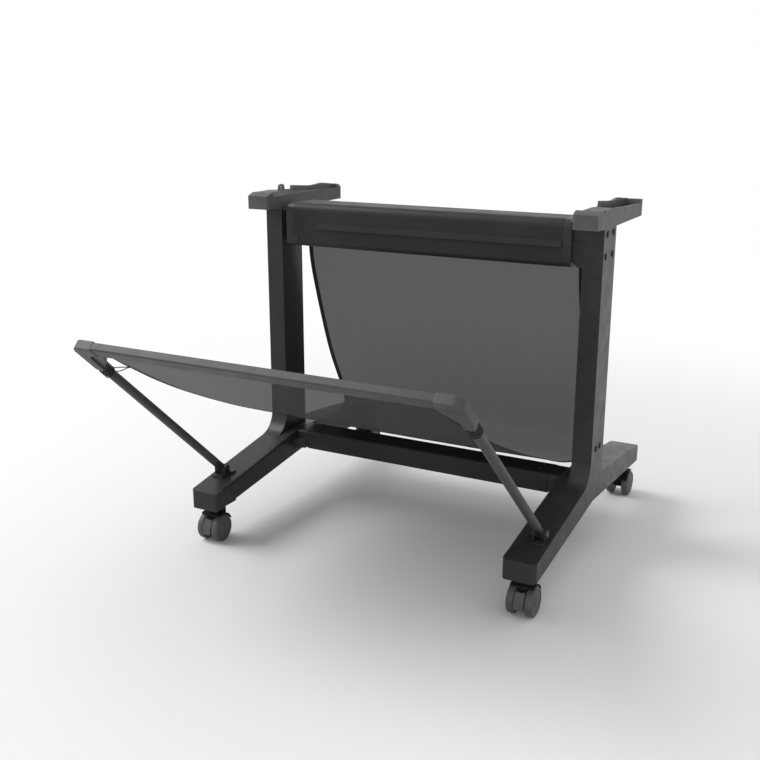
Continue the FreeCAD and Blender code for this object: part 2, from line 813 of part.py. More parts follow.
def make_crossbar():
    """Hollow bar that joins the two uprights at the top."""
    solid = crossbar_section("crossbar_solid", "-cap_start", "2 * cap_start", "0")
    rib = block(
        "crossbar_rib", ("-cap_start + rib_start", "-crossbar_front - rib_proud", "rib_height"),
        ("2 * cap_start - rib_start", "rib_proud + 1", "rib_tall"),
    )
    hollow = block(
        "crossbar_hollow",
        ("-cap_start - 1", "-crossbar_front + crossbar_wall", "crossbar_low + crossbar_wall"),
        (
            "2 * cap_start + 2", "crossbar_front + crossbar_back - 2 * crossbar_wall",
            "crossbar_top - crossbar_low - 2 * crossbar_wall",
        ),
    )
    publish(cut("upper_crossbar", fuse("crossbar_ribbed", solid, rib), hollow), "upper_crossbar")


def make_crossbar_cap(side):
    """End of the crossbar, between the bar and the head block."""
    start, length = span_x(side, "cap_start", "block_inner")
    section = crossbar_section(f"cap_{side}", start, length, "end_cap_step")
    front = "-crossbar_front - 1"
    depth = "crossbar_front + crossbar_back + 2"
    shoulder = "(crossbar_top - end_cap_step - end_cap_round)"
    lower = block(
        f"cap_lower_{side}", (start, front, "crossbar_low"), (length, depth, f"{shoulder} - crossbar_low")
    )
    start, length = span_x(side, "cap_start", "block_inner - end_cap_round")
    upper = block(f"cap_upper_{side}", (start, front, shoulder), (length, depth, "end_cap_round + 1"))
    place = (f"{SIDES[side]} * (block_inner - end_cap_round)", front, shoulder)
    turn = rod(f"cap_turn_{side}", "Y", place, "end_cap_round", depth)
    cap = doc.addObject("Part::MultiCommon", f"cap_rounded_{side}")
    cap.Shapes = [section, fuse(f"cap_outline_{side}", lower, upper, turn)]
    publish(cap, f"crossbar_cap_{side}")


def make_crossbar_clip():
    """Small wedge-shaped clip on the front of the crossbar, at its lower left."""
    face = "-crossbar_front"
    low = "crossbar_low + crossbar_keel"
    points = [
        (face, low), (f"{face} - rib_proud * 2", low),
        (f"{face} - rib_proud", f"{low} + clip_tall"), (face, f"{low} + clip_tall"),
    ]
    publish(prism("crossbar_clip", "YZ", "-cap_start + 2", points, "clip_width"), "crossbar_clip")


def make_cloth_rod():
    """Rod that the rear edge of the cloth hangs from, held by the two head blocks."""
    half = "(block_inner + rod_seat)"
    item = rod("cloth_rod_bar", "X", (f"-{half}", "rod_place", "rod_height"), "rod_radius", f"2 * {half}")
    publish(gather("cloth_top_rod", [item]), "cloth_top_rod")


def make_lower_beam():
    """Hollow beam that joins the two feet, with a bracket at each end."""
    section = [
        ("beam_front", "beam_low"), ("beam_front", "beam_top"),
        ("beam_back", "beam_top"), ("beam_back", "beam_low"),
    ]
    body = prism("beam_solid", "YZ", "-beam_half", section, "2 * beam_half")
    soften_edges(body, "beam_rounds", lambda middle, way: abs(way.x) > 0.9, "beam_round")
    hollow = block(
        "beam_hollow", ("-beam_half - 1", "beam_front + beam_wall", "beam_low + beam_wall"),
        (
            "2 * beam_half + 2", "beam_back - beam_front - 2 * beam_wall",
            "beam_top - beam_low - 2 * beam_wall",
        ),
    )
    holes = [
        rod(
            f"beam_hole_{name}_{side}", "Z",
            (f"{SIDES[side]} * beam_screw_x", place, "beam_top - beam_wall - 1"),
            "screw_shank + fit_gap", "beam_wall + 2",
        )
        for side in SIDES for name, place in BEAM_SCREWS
    ]
    publish(cut("lower_beam", body, hollow, *holes), "lower_beam")
    for side in SIDES:
        make_beam_bracket(side)


def make_beam_bracket(side):
    """Bracket that plugs into an end of the beam and bolts to the foot."""
    start, length = span_x(side, "beam_half", "foot_inner")
    flange = prism(
        f"bracket_flange_{side}", "YZ", start,
        [
            ("beam_front + 1", "beam_low + 2"), ("beam_front + 1", "beam_top - 1"),
            ("beam_back - 1", "beam_top - 1"), ("beam_back - 1", "beam_low + 2"),
        ],
        length,
    )
    soften_edges(flange, f"bracket_rounds_{side}", lambda middle, way: abs(way.x) > 0.9, "4")
    start, length = span_x(side, "beam_half - bracket_plug", "beam_half + 1")
    room = "(beam_wall + fit_gap)"
    plug = block(
        f"bracket_plug_{side}", (start, f"beam_front + {room}", f"beam_low + {room}"),
        (length, f"beam_back - beam_front - 2 * {room}", f"beam_top - beam_low - 2 * {room}"),
    )
    holes = [
        rod(
            f"plug_hole_{name}_{side}", "Z",
            (f"{SIDES[side]} * beam_screw_x", place, "beam_top - screw_length - 2"),
            "screw_shank + fit_gap", "screw_length + 2",
        )
        for name, place in BEAM_SCREWS
    ]
    solid = fuse(f"bracket_solid_{side}", flange, plug)
    publish(cut(f"beam_bracket_{side}", solid, *holes), f"beam_bracket_{side}")


def make_beam_screws():
    """Screws down through the beam's top into its end brackets."""
    screws = []
    for side in SIDES:
        for name, place in BEAM_SCREWS:
            tag = f"{name}_{side}"
            x_place = f"{SIDES[side]} * beam_screw_x"
            head = rod(
                f"beam_head_{tag}", "Z", (x_place, place, "beam_top"), "screw_head", "beam_screw_head"
            )
            shank = rod(
                f"beam_shank_{tag}", "Z", (x_place, place, "beam_top - screw_length"),
                "screw_shank", "screw_length",
            )
            solid = fuse(f"beam_screw_{tag}", head, shank)
            socket = hex_cutter(f"beam_socket_{tag}", (x_place, place, "beam_top + 1"), "4", "Z")
            screws.append(cut(f"beam_screw_cut_{tag}", solid, socket))
    publish(gather("beam_screws", screws), "beam_screws")


def make_strut_bracket(side):
    """Forked bracket on the foot that a strut of the basket turns in."""
    half = "fork_half"
    start, length = span_x(side, f"strut_x - {half}", f"strut_x + {half}")
    seat = "pivot_seat"
    rise = "front_slope * bracket_half"
    base = prism(
        f"bracket_base_{side}", "YZ", start,
        [
            ("-pivot_reach - bracket_half", f"{seat} - {rise}"),
            ("-pivot_reach - bracket_half", f"{seat} - {rise} + bracket_base"),
            ("-pivot_reach + bracket_half", f"{seat} + {rise} + bracket_base"),
            ("-pivot_reach + bracket_half", f"{seat} + {rise}"),
        ],
        length,
    )
    ears = []
    for name, near in (("inner", f"strut_x - {half}"), ("outer", "strut_x + strut_radius + ear_gap")):
        start, length = span_x(side, near, f"{near} + ear_thick")
        plate = block(
            f"ear_plate_{name}_{side}", (start, "-pivot_reach - ear_radius", f"{seat} + bracket_base / 2"),
            (length, "ear_radius * 2", f"pivot_height - {seat} - bracket_base / 2"),
        )
        crown = rod(
            f"ear_crown_{name}_{side}", "X", (start, "-pivot_reach", "pivot_height"), "ear_radius", length
        )
        ears += [plate, crown]
    start, length = span_x(side, f"strut_x - {half} - 9", f"strut_x - {half} + 1")
    tab_place = (start, "-pivot_reach + bracket_half - 12", f"{seat} + {rise}")
    tab = block(f"bracket_tab_{side}", tab_place, (length, "12", "3.5"))
    solid = fuse(f"bracket_block_{side}", base, tab, *ears)
    start, length = span_x(side, f"strut_x - {half} - 1", f"strut_x + {half} + 1")
    bore = rod(
        f"ear_bore_{side}", "X", (start, "-pivot_reach", "pivot_height"), "pivot_radius", length
    )
    start, length = span_x(side, "strut_x - strut_radius - ear_gap", "strut_x + strut_radius + ear_gap")
    room = rod(
        f"knuckle_room_{side}", "X", (start, "-pivot_reach", "pivot_height"), "knuckle_radius + 1.5", length
    )
    publish(cut(f"strut_bracket_{side}", solid, bore, room), f"strut_bracket_{side}")


def make_strut_pins():
    """Pins of the two strut hinges, with a low head on each outer end."""
    pins = []
    half = "fork_half"
    for side in SIDES:
        start, length = span_x(side, f"strut_x - {half}", f"strut_x + {half}")
        shaft = rod(
            f"pin_shaft_{side}", "X", (start, "-pivot_reach", "pivot_height"), "pivot_radius", length
        )
        start, length = span_x(side, f"strut_x + {half}", f"strut_x + {half} + 1.8")
        head = rod(
            f"pin_head_{side}", "X", (start, "-pivot_reach", "pivot_height"), "pivot_radius * 1.7", length
        )
        pins.append(fuse(f"strut_pin_{side}", shaft, head))
    publish(gather("strut_pins", pins), "strut_pins")


def make_knuckle(side):
    """Eye and socket at the foot of a strut."""
    start, length = span_x(side, "strut_x - strut_radius", "strut_x + strut_radius")
    eye = rod(f"eye_{side}", "X", (start, "0", "0"), "knuckle_radius", length)
    x_place = f"{SIDES[side]} * strut_x"
    neck = rod(f"neck_{side}", "Z", (x_place, "0", "0"), "strut_radius - fit_gap", "knuckle_length")
    plug = rod(
        f"plug_{side}", "Z", (x_place, "0", "knuckle_length - 1"),
        "strut_radius - strut_wall - fit_gap", "16",
    )
    start, length = span_x(side, "strut_x - strut_radius - 1", "strut_x + strut_radius + 1")
    bore = rod(f"eye_bore_{side}", "X", (start, "0", "0"), "pivot_radius + running_gap", length)
    solid = fuse(f"knuckle_solid_{side}", eye, neck, plug)
    publish_on_basket(cut(f"strut_knuckle_{side}", solid, bore), f"strut_knuckle_{side}")


def make_strut(side):
    """Tube between a knuckle and a corner of the basket's bar."""
    x_place = f"{SIDES[side]} * strut_x"
    low = "(knuckle_length + fit_gap)"
    high = "(bar_low - corner_wall - 1)"
    outside = rod(f"strut_outside_{side}", "Z", (x_place, "0", low), "strut_radius", f"{high} - {low}")
    inside = rod(
        f"strut_inside_{side}", "Z", (x_place, "0", f"{low} - 1"), "strut_radius - strut_wall",
        f"{high} - {low} + 2",
    )
    publish_on_basket(cut(f"strut_{side}", outside, inside), f"strut_{side}")


def bar_block(name, start, length, grown):
    """Block of the bar's section, grown on all four sides."""
    return block(
        name, (start, f"-bar_depth / 2 - {grown}", f"bar_low - {grown}"),
        (length, f"bar_depth + 2 * {grown}", f"bar_height + 2 * {grown}"),
    )


def make_basket_bar():
    """Front bar of the basket, which holds the front edge of the cloth."""
    half = "(bar_half - corner_round)"
    edges = [
        ("-bar_depth / 2", "bar_low"), ("-bar_depth / 2", "strut_length + bar_height / 2"),
        ("bar_depth / 2", "strut_length + bar_height / 2"), ("bar_depth / 2", "bar_low"),
    ]
    body = prism("bar_solid", "YZ", f"-{half}", edges, f"2 * {half}")
    soften_edges(body, "bar_rounds", lambda middle, way: abs(way.x) > 0.9, "bar_round")
    hollow = bar_block("bar_hollow", f"-{half} - 1", f"2 * {half} + 2", "(-bar_wall - 1)")
    publish_on_basket(cut("basket_bar", body, hollow), "basket_bar")


def make_bar_corner(side):
    """Moulded corner that joins the bar to a strut."""
    shell = "(corner_wall + fit_gap)"
    sign = SIDES[side]
    low, high = f"bar_low - {shell}", f"bar_low + bar_height + {shell}"
    near, far = f"{sign} * (bar_half - corner_along)", f"{sign} * bar_half"
    outline = [(near, low), (near, high), (far, high), (far, low)]
    sleeve = prism(
        f"corner_sleeve_{side}", "XZ", f"-bar_depth / 2 - {shell}", outline, f"bar_depth + 2 * {shell}"
    )
    shoulder_x, shoulder_z = sign * size("bar_half"), size("bar_low") + size("bar_height")
    soften_edges(
        sleeve, f"corner_shoulder_{side}",
        lambda middle, way: abs(middle.x - shoulder_x) < 0.1 and middle.z > shoulder_z, "corner_round",
    )
    start, length = span_x(side, "strut_x - strut_radius - corner_wall - fit_gap", "bar_half")
    top = f"(bar_low - {shell})"
    leg = prism(
        f"corner_leg_{side}", "YZ", start,
        [
            ("-strut_radius - corner_wall - fit_gap", f"{top} + 2"),
            ("strut_radius + corner_wall + fit_gap", f"{top} + 2"),
            ("strut_radius + corner_wall + fit_gap", f"{top} - corner_down"),
            ("-strut_radius - corner_wall - fit_gap", f"{top} - corner_down"),
        ],
        length,
    )
    start, length = span_x(side, "bar_half - corner_along - 1", "bar_half - corner_round + fit_gap")
    bar_room = bar_block(f"bar_room_{side}", start, length, "fit_gap")
    x_place = f"{SIDES[side]} * strut_x"
    low_end = f"{top} - corner_down - corner_collar"
    collar = rod(
        f"corner_collar_{side}", "Z", (x_place, "0", low_end), f"strut_radius + {shell}", "corner_collar + 2"
    )
    strut_room = rod(
        f"strut_room_{side}", "Z", (x_place, "0", f"{low_end} - 1"), "strut_radius + 0.2",
        "corner_down + corner_collar + 1.5",
    )
    gusset = prism(
        f"corner_gusset_{side}", "XZ", "-corner_web / 2",
        [
            (f"{sign} * (strut_x - strut_radius)", f"{top} - corner_down + 4"),
            (f"{sign} * (strut_x - strut_radius)", f"{top} + 1"),
            (f"{sign} * (bar_half - corner_along + 5)", f"{top} + 1"),
            (f"{sign} * (cloth_half + 2)", f"{top}"),
            (f"{sign} * (cloth_half + 2)", f"{top} - 3"),
            (f"{sign} * (strut_x - strut_radius - 9)", f"{top} - corner_down * 0.75"),
        ],
        "corner_web",
    )
    solid = fuse(f"corner_solid_{side}", sleeve, leg, collar, gusset)
    publish_on_basket(cut(f"bar_corner_{side}", solid, bar_room, strut_room), f"bar_corner_{side}")


def cloth_sheet(line, first, last, half_width, thickness):
    """Sheet of cloth along a stretch of a smooth curve seen from the side."""
    steps = 30
    near = []
    far = []
    for step in range(steps + 1):
        place = first + (last - first) * step / steps
        tangent = line.tangent(place)[0]
        normal = FreeCAD.Vector(0, -tangent.z, tangent.y)
        near.append(line.value(place) - normal * thickness / 2)
        far.append(line.value(place) + normal * thickness / 2)
    edges = []
    for side_points in (near, far):
        curve = Part.BSplineCurve()
        curve.interpolate(side_points)
        edges.append(curve.toShape())
    edges.append(Part.makeLine(near[0], far[0]))
    edges.append(Part.makeLine(near[-1], far[-1]))
    face = Part.Face(Part.Wire(Part.__sortEdges__(edges)))
    return face.extrude(FreeCAD.Vector(2 * half_width, 0, 0))


# The hanging cloth's side curve. Its rear wall is given as shares of how far the bag
# reaches back and how far it drops; its front slope as shares of the way to the bar, with
# how much it sags there.
BAG_WALL = ((0, 0), (0.08, 0.1974), (0.527, 0.6184), (1, 0.9254), (0.933, 0.9912), (0.4, 1))
BAG_SLOPE = ((0, 0), (0.216, 8.2), (0.461, 15.7), (0.757, 14.1))
BAG_LIP = ((68, 45.5), (9.6, 8.8))


def cloth_profile():
    """Side curve of the hanging cloth: rear wall, trough and front slope up to the bar."""
    hang = size("rod_place") + size("rod_radius") + size("cloth_thick") / 2 + size("fit_gap") / 3
    lowest = size("beam_low") + size("beam_tall") * 0.88
    drop = size("rod_height") - lowest
    wall = [
        (hang + size("bag_reach") * back, size("rod_height") - drop * down)
        for back, down in BAG_WALL
    ]
    slope = math.radians(size("strut_slope"))
    bar_y = -size("pivot_reach") - size("strut_length") * math.cos(slope)
    bar_z = size("pivot_height") + size("strut_length") * math.sin(slope)
    lip = [(bar_y + back, bar_z - down) for back, down in BAG_LIP]
    start = (size("beam_front") + 5, size("beam_top") + size("bag_low_lift"))
    front = [
        (
            start[0] + (lip[0][0] - start[0]) * share,
            start[1] + (lip[0][1] - start[1]) * share - sag,
        )
        for share, sag in BAG_SLOPE
    ]
    return wall + front + lip


def make_cloth():
    """The basket's cloth, as a rear part on the stand and a front part on the basket."""
    half = size("cloth_half")
    thick = size("cloth_thick")
    gap = size("cloth_gap")
    line = Part.BSplineCurve()
    line.interpolate([FreeCAD.Vector(-half, y, z) for y, z in cloth_profile()])
    above_pivot = FreeCAD.Vector(-half, -size("pivot_reach") - 17, 300)
    split = line.parameter(above_pivot)
    step = gap / line.length() * (line.LastParameter - line.FirstParameter)
    shift = FreeCAD.Vector(0, size("origin_y"), 0)
    for label, first, last in (
        ("cloth_rear_panel", line.FirstParameter, split),
        ("cloth_front_panel", split + step, line.LastParameter),
    ):
        item = doc.addObject("Part::Feature", label)
        item.Shape = cloth_sheet(line, first, last, half, thick)
        item.Placement = FreeCAD.Placement(shift, FreeCAD.Rotation())
        item.Label = label
        published.append(item)


def make_corner_tie(side):
    """Short elastic tie, pulled tight between the cloth's corner and the strut."""
    sign = SIDES[side]
    near = f"{sign} * (cloth_half + fit_gap)"
    far = f"{sign} * (strut_x - strut_radius - corner_wall - fit_gap * 2)"
    points = [
        (near, "tie_lift - tie_half"), (near, "tie_lift + tie_half"),
        (far, "tie_lift - tie_fall + tie_half"), (far, "tie_lift - tie_fall - tie_half"),
    ]
    tie = prism(f"tie_{side}", "XY", "bar_low - tie_drop", points, "2 * tie_half")
    publish_on_basket(gather(f"corner_tie_{side}", [tie]), f"corner_tie_{side}")


def make_caster_sockets():
    """Pads under the foot ends that the caster stems go up through."""
    pads = []
    for side in SIDES:
        front_end = "(socket_edge + socket_length)"
        rear_end = "(socket_edge + rear_socket_length)"
        front_low = "foot_front_under + socket_edge * under_slope"
        front_high = f"foot_front_under + {front_end} * under_slope"
        rear_low = "foot_rear_under + socket_edge * rear_under_slope"
        front = [
            ("-foot_front_reach + socket_edge", front_low),
            ("-foot_front_reach + socket_edge", f"{front_low} - socket_drop"),
            (f"-foot_front_reach + {front_end}", f"{front_low} - socket_drop"),
            (f"-foot_front_reach + {front_end}", front_high),
        ]
        rear = [
            ("foot_rear_reach - socket_edge", rear_low),
            ("foot_rear_reach - socket_edge", f"{rear_low} - rear_socket_drop"),
            (f"foot_rear_reach - {rear_end}", f"{rear_low} - rear_socket_drop"),
            (f"foot_rear_reach - {rear_end}", f"foot_rear_under + {rear_end} * rear_under_slope"),
        ]
        for end, points in (("front", front), ("rear", rear)):
            start, length = span_x(side, f"{end}_caster_x - socket_half", f"{end}_caster_x + socket_half")
            solid = prism(f"socket_{end}_{side}", "YZ", start, points, length)
            place = (stem_across((end, side)), stem_place(end), "foot_front_under - 10")
            bore = rod(f"socket_bore_{end}_{side}", "Z", place, "stem_radius", "40")
            pads.append(cut(f"socket_pad_{end}_{side}", solid, bore))
    publish(gather("caster_sockets", pads), "caster_sockets")


def make_caster_stems():
    """Steel stems fixed in the feet, which the hoods turn on."""
    stems = []
    for side in SIDES:
        for end in ("front", "rear"):
            place = (stem_across((end, side)), stem_place(end), "boss_low")
            under = "foot_front_under" if end == "front" else "foot_rear_under"
            length = f"{under} + foot_bar_thick - boss_low"
            stems.append(rod(f"stem_{end}_{side}", "Z", place, "stem_radius", length))
    publish(gather("caster_stems", stems), "caster_stems")


def make_caster_hood(corner):
    """Hood over the two wheels, with the web between them that holds the axle."""
    end, side = corner
    tag = f"{end}_{side}"
    hub = ("caster_trail", "wheel_radius")
    canopy = rod(
        f"canopy_{tag}", "X", ("-hood_wide", *hub), "wheel_radius + hood_clear + hood_skin", "2 * hood_wide"
    )
    under = rod(
        f"canopy_under_{tag}", "X", ("-hood_wide - 1", *hub), "wheel_radius + hood_clear",
        "2 * hood_wide + 2",
    )
    keep = block(
        f"canopy_keep_{tag}", ("-hood_wide", "caster_trail - 30", "wheel_radius + 14"),
        ("2 * hood_wide", "42", "wheel_radius"),
    )
    shell = cut(f"canopy_shell_{tag}", canopy, under)
    arch = doc.addObject("Part::MultiCommon", f"canopy_arch_{tag}")
    arch.Shapes = [shell, keep]
    web = prism(
        f"web_{tag}", "YZ", "-hood_web",
        [
            ("-boss_radius", "hood_top"), ("boss_radius", "hood_top"),
            ("caster_trail + 10", "wheel_radius * 2"),
            ("caster_trail + 10", "wheel_radius - 9"), ("caster_trail - 9", "wheel_radius - 9"),
            ("-boss_radius", "boss_low - 10"),
        ],
        "2 * hood_web",
    )
    boss = rod(f"boss_{tag}", "Z", ("0", "0", "boss_low"), "boss_radius", "boss_tall")
    pieces = [arch, web, boss]
    if end == "front":
        pieces += lever_hinge(tag)
    solid = fuse(f"hood_solid_{tag}", *pieces)
    stem_hole = rod(
        f"stem_hole_{tag}", "Z", ("0", "0", "boss_low - fit_gap"), "stem_radius + running_gap",
        "boss_tall * 2",
    )
    axle_hole = rod(f"axle_hole_{tag}", "X", ("-hood_wide", *hub), "axle_radius", "2 * hood_wide")
    hood = cut(f"caster_hood_{tag}", solid, stem_hole, axle_hole)
    publish_on_caster(hood, f"caster_hood_{tag}", corner)


def lever_hinge(tag):
    """Tongue on a front hood, with the trunnions that the brake lever turns on."""
    tongue = block(
        f"tongue_{tag}", ("-lever_tongue", "caster_trail + 9", "wheel_radius + 15"),
        ("2 * lever_tongue", "5.5", "6"),
    )
    eye = rod(f"tongue_eye_{tag}", "X", ("-lever_tongue", *LEVER_PIVOT), "3", "2 * lever_tongue")
    pin = rod(f"trunnion_{tag}", "X", ("-hood_web", *LEVER_PIVOT), "lever_pin_radius", "2 * hood_web")
    return [tongue, eye, pin]


def make_caster_axle(corner):
    end, side = corner
    tag = f"{end}_{side}"
    reach = "(wheel_inside + wheel_width - 2)"
    shaft = rod(
        f"axle_shaft_{tag}", "X", (f"-{reach}", "caster_trail", "wheel_radius"),
        "axle_radius", f"2 * {reach}",
    )
    publish_on_caster(gather(f"caster_axle_{tag}", [shaft]), f"caster_axle_{tag}", corner)


def make_wheel(corner, name, direction):
    """One of a caster's twin wheels: a tyre-shaped disc with a dished outer face."""
    end, side = corner
    tag = f"{end}_{side}_{name}"
    near = "wheel_inside"
    far = "(wheel_inside + wheel_width)"
    where = "right" if direction > 0 else "left"
    start, length = span_x(where, near, far)
    disc = rod(f"disc_{tag}", "X", (start, "caster_trail", "wheel_radius"), "wheel_radius", length)
    rounded = doc.addObject("Part::Fillet", f"disc_round_{tag}")
    rounded.Base = disc
    doc.recompute()
    rims = [
        index for index, edge in enumerate(disc.Shape.Edges, 1)
        if isinstance(edge.Curve, Part.Circle)
    ]
    rounding = size("wheel_round")
    rounded.Edges = [(index, rounding, rounding) for index in rims]
    start, length = span_x(where, f"{far} - wheel_dish", f"{far} + 1")
    dish = rod(f"dish_{tag}", "X", (start, "caster_trail", "wheel_radius"), "wheel_radius * 0.62", length)
    start, length = span_x(where, f"{near} - 1", f"{far} - wheel_dish + 1")
    bore = rod(
        f"wheel_bore_{tag}", "X", (start, "caster_trail", "wheel_radius"),
        "axle_radius + running_gap", length,
    )
    publish_on_caster(cut(f"caster_wheel_{tag}", rounded, dish, bore), f"caster_wheel_{tag}", corner)


def make_brake_lever(corner):
    """Foot lever between the front wheels that presses on their treads."""
    end, side = corner
    tag = f"{end}_{side}"
    hub_y, hub_z = LEVER_PIVOT
    points = [
        (f"{hub_y} - 1", f"{hub_z} + lever_hub"), (f"{hub_y} + 4", f"{hub_z} + lever_hub"),
        (f"{hub_y} + 14", f"{hub_z} - 12"), (f"{hub_y} + 15", f"{hub_z} - 27"),
        (f"{hub_y} + 11", f"{hub_z} - 29"), (f"{hub_y} + 8", f"{hub_z} - 14"),
        (f"{hub_y} - 1", f"{hub_z} - lever_hub"),
    ]
    plate = prism(f"lever_{tag}", "YZ", "-hood_web", points, "2 * hood_web")
    hub = rod(f"lever_hub_{tag}", "X", ("-hood_web", hub_y, hub_z), "lever_hub", "2 * hood_web")
    solid = fuse(f"lever_solid_{tag}", plate, hub)
    reach = "(lever_tongue + fit_gap)"
    slot = block(
        f"lever_slot_{tag}", (f"-{reach}", f"{hub_y} - 5", f"{hub_z} - 5"), (f"2 * {reach}", "8.5", "12")
    )
    bore = rod(
        f"lever_bore_{tag}", "X", ("-hood_web - 1", hub_y, hub_z), "lever_pin_radius + running_gap",
        "2 * hood_web + 2",
    )
    publish_on_caster(cut(f"brake_lever_{tag}", solid, slot, bore), f"brake_lever_{tag}", corner)


def make_casters():
    make_caster_sockets()
    make_caster_stems()
    for end in ("front", "rear"):
        for side in SIDES:
            corner = (end, side)
            make_caster_hood(corner)
            make_caster_axle(corner)
            outward = SIDES[side] if end == "rear" else -SIDES[side]
            make_wheel(corner, "inner", -outward)
            make_wheel(corner, "outer", outward)
            if end == "front":
                make_brake_lever(corner)


def make_stand():
    for side in SIDES:
        make_leg_shell(side)
        make_leg_post(side)
        make_foot_bar(side)
        make_leg_covers(side)
        make_head_block(side)
        make_arm(side)
        make_crossbar_cap(side)
        make_strut_bracket(side)
    make_leg_screws()
    make_locating_pin()
    make_crossbar()
    make_crossbar_clip()
    make_cloth_rod()
    make_lower_beam()
    make_beam_screws()
    make_strut_pins()


def make_basket():
    make_basket_bar()
    for side in SIDES:
        make_knuckle(side)
        make_strut(side)
        make_bar_corner(side)
        make_corner_tie(side)
    make_cloth()


def check_document():
    """Stops if any object failed or any sub-part's shape isn't whole."""
    for item in doc.Objects:
        if "Invalid" in item.State or "Error" in item.State:
            raise RuntimeError(f"{item.Name} failed: {item.State}")
    for item in published:
        shape = item.Shape
        if shape.isNull() or not shape.isValid() or not shape.Solids:
            raise RuntimeError(f"{item.Label} has no valid solid")


def write_parts():
    for item in published:
        item.Shape.exportStep(f"parts/{item.Label}.step")
        box = item.Shape.BoundBox
        print(
            f"{item.Label:28s} {len(item.Shape.Solids):3d} solids {item.Shape.Volume / 1000:9.1f} cm3"
            f"  x {box.XMin:7.1f} {box.XMax:7.1f}  y {box.YMin:7.1f} {box.YMax:7.1f}"
            f"  z {box.ZMin:6.1f} {box.ZMax:6.1f}"
        )


make_stand()
make_basket()
make_casters()
doc.recompute()
check_document()
write_parts()
print(f"{len(published)} sub-parts, origin shift {size('origin_y'):.3f} mm")
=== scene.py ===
import bmesh
import bpy
import json
import math
from mathutils import Matrix, Vector, noise


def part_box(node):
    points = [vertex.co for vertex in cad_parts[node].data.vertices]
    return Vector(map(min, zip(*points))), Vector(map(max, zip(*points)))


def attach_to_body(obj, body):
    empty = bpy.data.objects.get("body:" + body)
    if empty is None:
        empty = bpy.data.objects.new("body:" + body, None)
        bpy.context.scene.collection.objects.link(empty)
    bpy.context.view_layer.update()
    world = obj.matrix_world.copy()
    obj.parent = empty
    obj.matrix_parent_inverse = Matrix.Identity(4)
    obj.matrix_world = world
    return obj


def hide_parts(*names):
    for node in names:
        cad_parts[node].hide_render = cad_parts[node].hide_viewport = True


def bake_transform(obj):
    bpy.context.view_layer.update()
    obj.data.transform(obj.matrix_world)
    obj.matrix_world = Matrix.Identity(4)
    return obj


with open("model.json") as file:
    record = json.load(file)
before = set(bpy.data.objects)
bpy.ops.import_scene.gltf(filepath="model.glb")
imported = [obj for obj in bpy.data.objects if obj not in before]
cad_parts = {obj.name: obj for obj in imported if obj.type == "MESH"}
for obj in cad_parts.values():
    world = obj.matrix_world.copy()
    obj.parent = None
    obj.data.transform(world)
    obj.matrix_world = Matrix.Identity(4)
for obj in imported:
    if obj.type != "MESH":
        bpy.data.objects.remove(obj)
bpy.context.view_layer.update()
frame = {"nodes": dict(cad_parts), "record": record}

bodies = frame["record"]["behaviour"]["bodies"]
bodyOf = {node: body for body, nodes in bodies.items() for node in nodes}
slotOf = {row["node"]: row["material_slot"] for row in frame["record"]["subparts"]}
sides = {"left": -1, "right": 1}

# Where the stand's front face and the open basket lie in the frame.
standShift = 0.102083
basket = {"hinge": (0, -0.228 + standShift, 0.142997), "lean": math.radians(47.6)}
basketPlace = Matrix.Translation(basket["hinge"]) @ Matrix.Rotation(basket["lean"], 4, "X")


# Studio: camera, floor and light.

camera = {"place": (0.92211, -1.80351, 0.93016), "tilt": 90 - 15.856, "turn": 28.122, "lens": 49.03}


def placeCamera():
    data = bpy.data.cameras.new("standCamera")
    data.sensor_width = 36
    data.lens = camera["lens"]
    item = addObject("standCamera", data)
    item.location = camera["place"]
    item.rotation_euler = (math.radians(camera["tilt"]), 0, math.radians(camera["turn"]))
    bpy.context.scene.camera = item


def addObject(name, data):
    item = bpy.data.objects.new(name, data)
    bpy.context.scene.collection.objects.link(item)
    return item


def addNode(tree, kind, inputs=None, **settings):
    node = tree.nodes.new(kind)
    for key, value in settings.items():
        setattr(node, key, value)
    for key, value in (inputs or {}).items():
        node.inputs[key].default_value = value
    return node


def remap(tree, source, low, high, newLow, newHigh):
    node = addNode(tree, "ShaderNodeMapRange", {1: low, 2: high, 3: newLow, 4: newHigh})
    tree.links.new(source, node.inputs[0])
    return node.outputs[0]


def mixColours(tree, share, first, second):
    node = addNode(tree, "ShaderNodeMix", data_type="RGBA")
    tree.links.new(share, node.inputs[0])
    for socket, value in ((node.inputs[6], first), (node.inputs[7], second)):
        if isinstance(value, tuple):
            socket.default_value = (*value, 1)
        else:
            tree.links.new(value, socket)
    return node.outputs[2]


def calculate(tree, operation, *values):
    node = addNode(tree, "ShaderNodeMath", operation=operation)
    for socket, value in zip(node.inputs, values):
        if isinstance(value, (int, float)):
            socket.default_value = value
        else:
            tree.links.new(value, socket)
    return node.outputs[0]


studio = {
    "worldLight": 1.0, "floorShade": 0.57, "floorReach": 14, "fadeStart": 0.9, "fadeEnd": 2.2,
    "keyPlace": (-5.2, -1.4, 5.3), "keySize": 4.6, "keyPower": 500,
    "fillPlace": (1.6, -4.0, 0.9), "fillSize": 2.6, "fillPower": 55, "aim": (0, 0, 0.3),
}


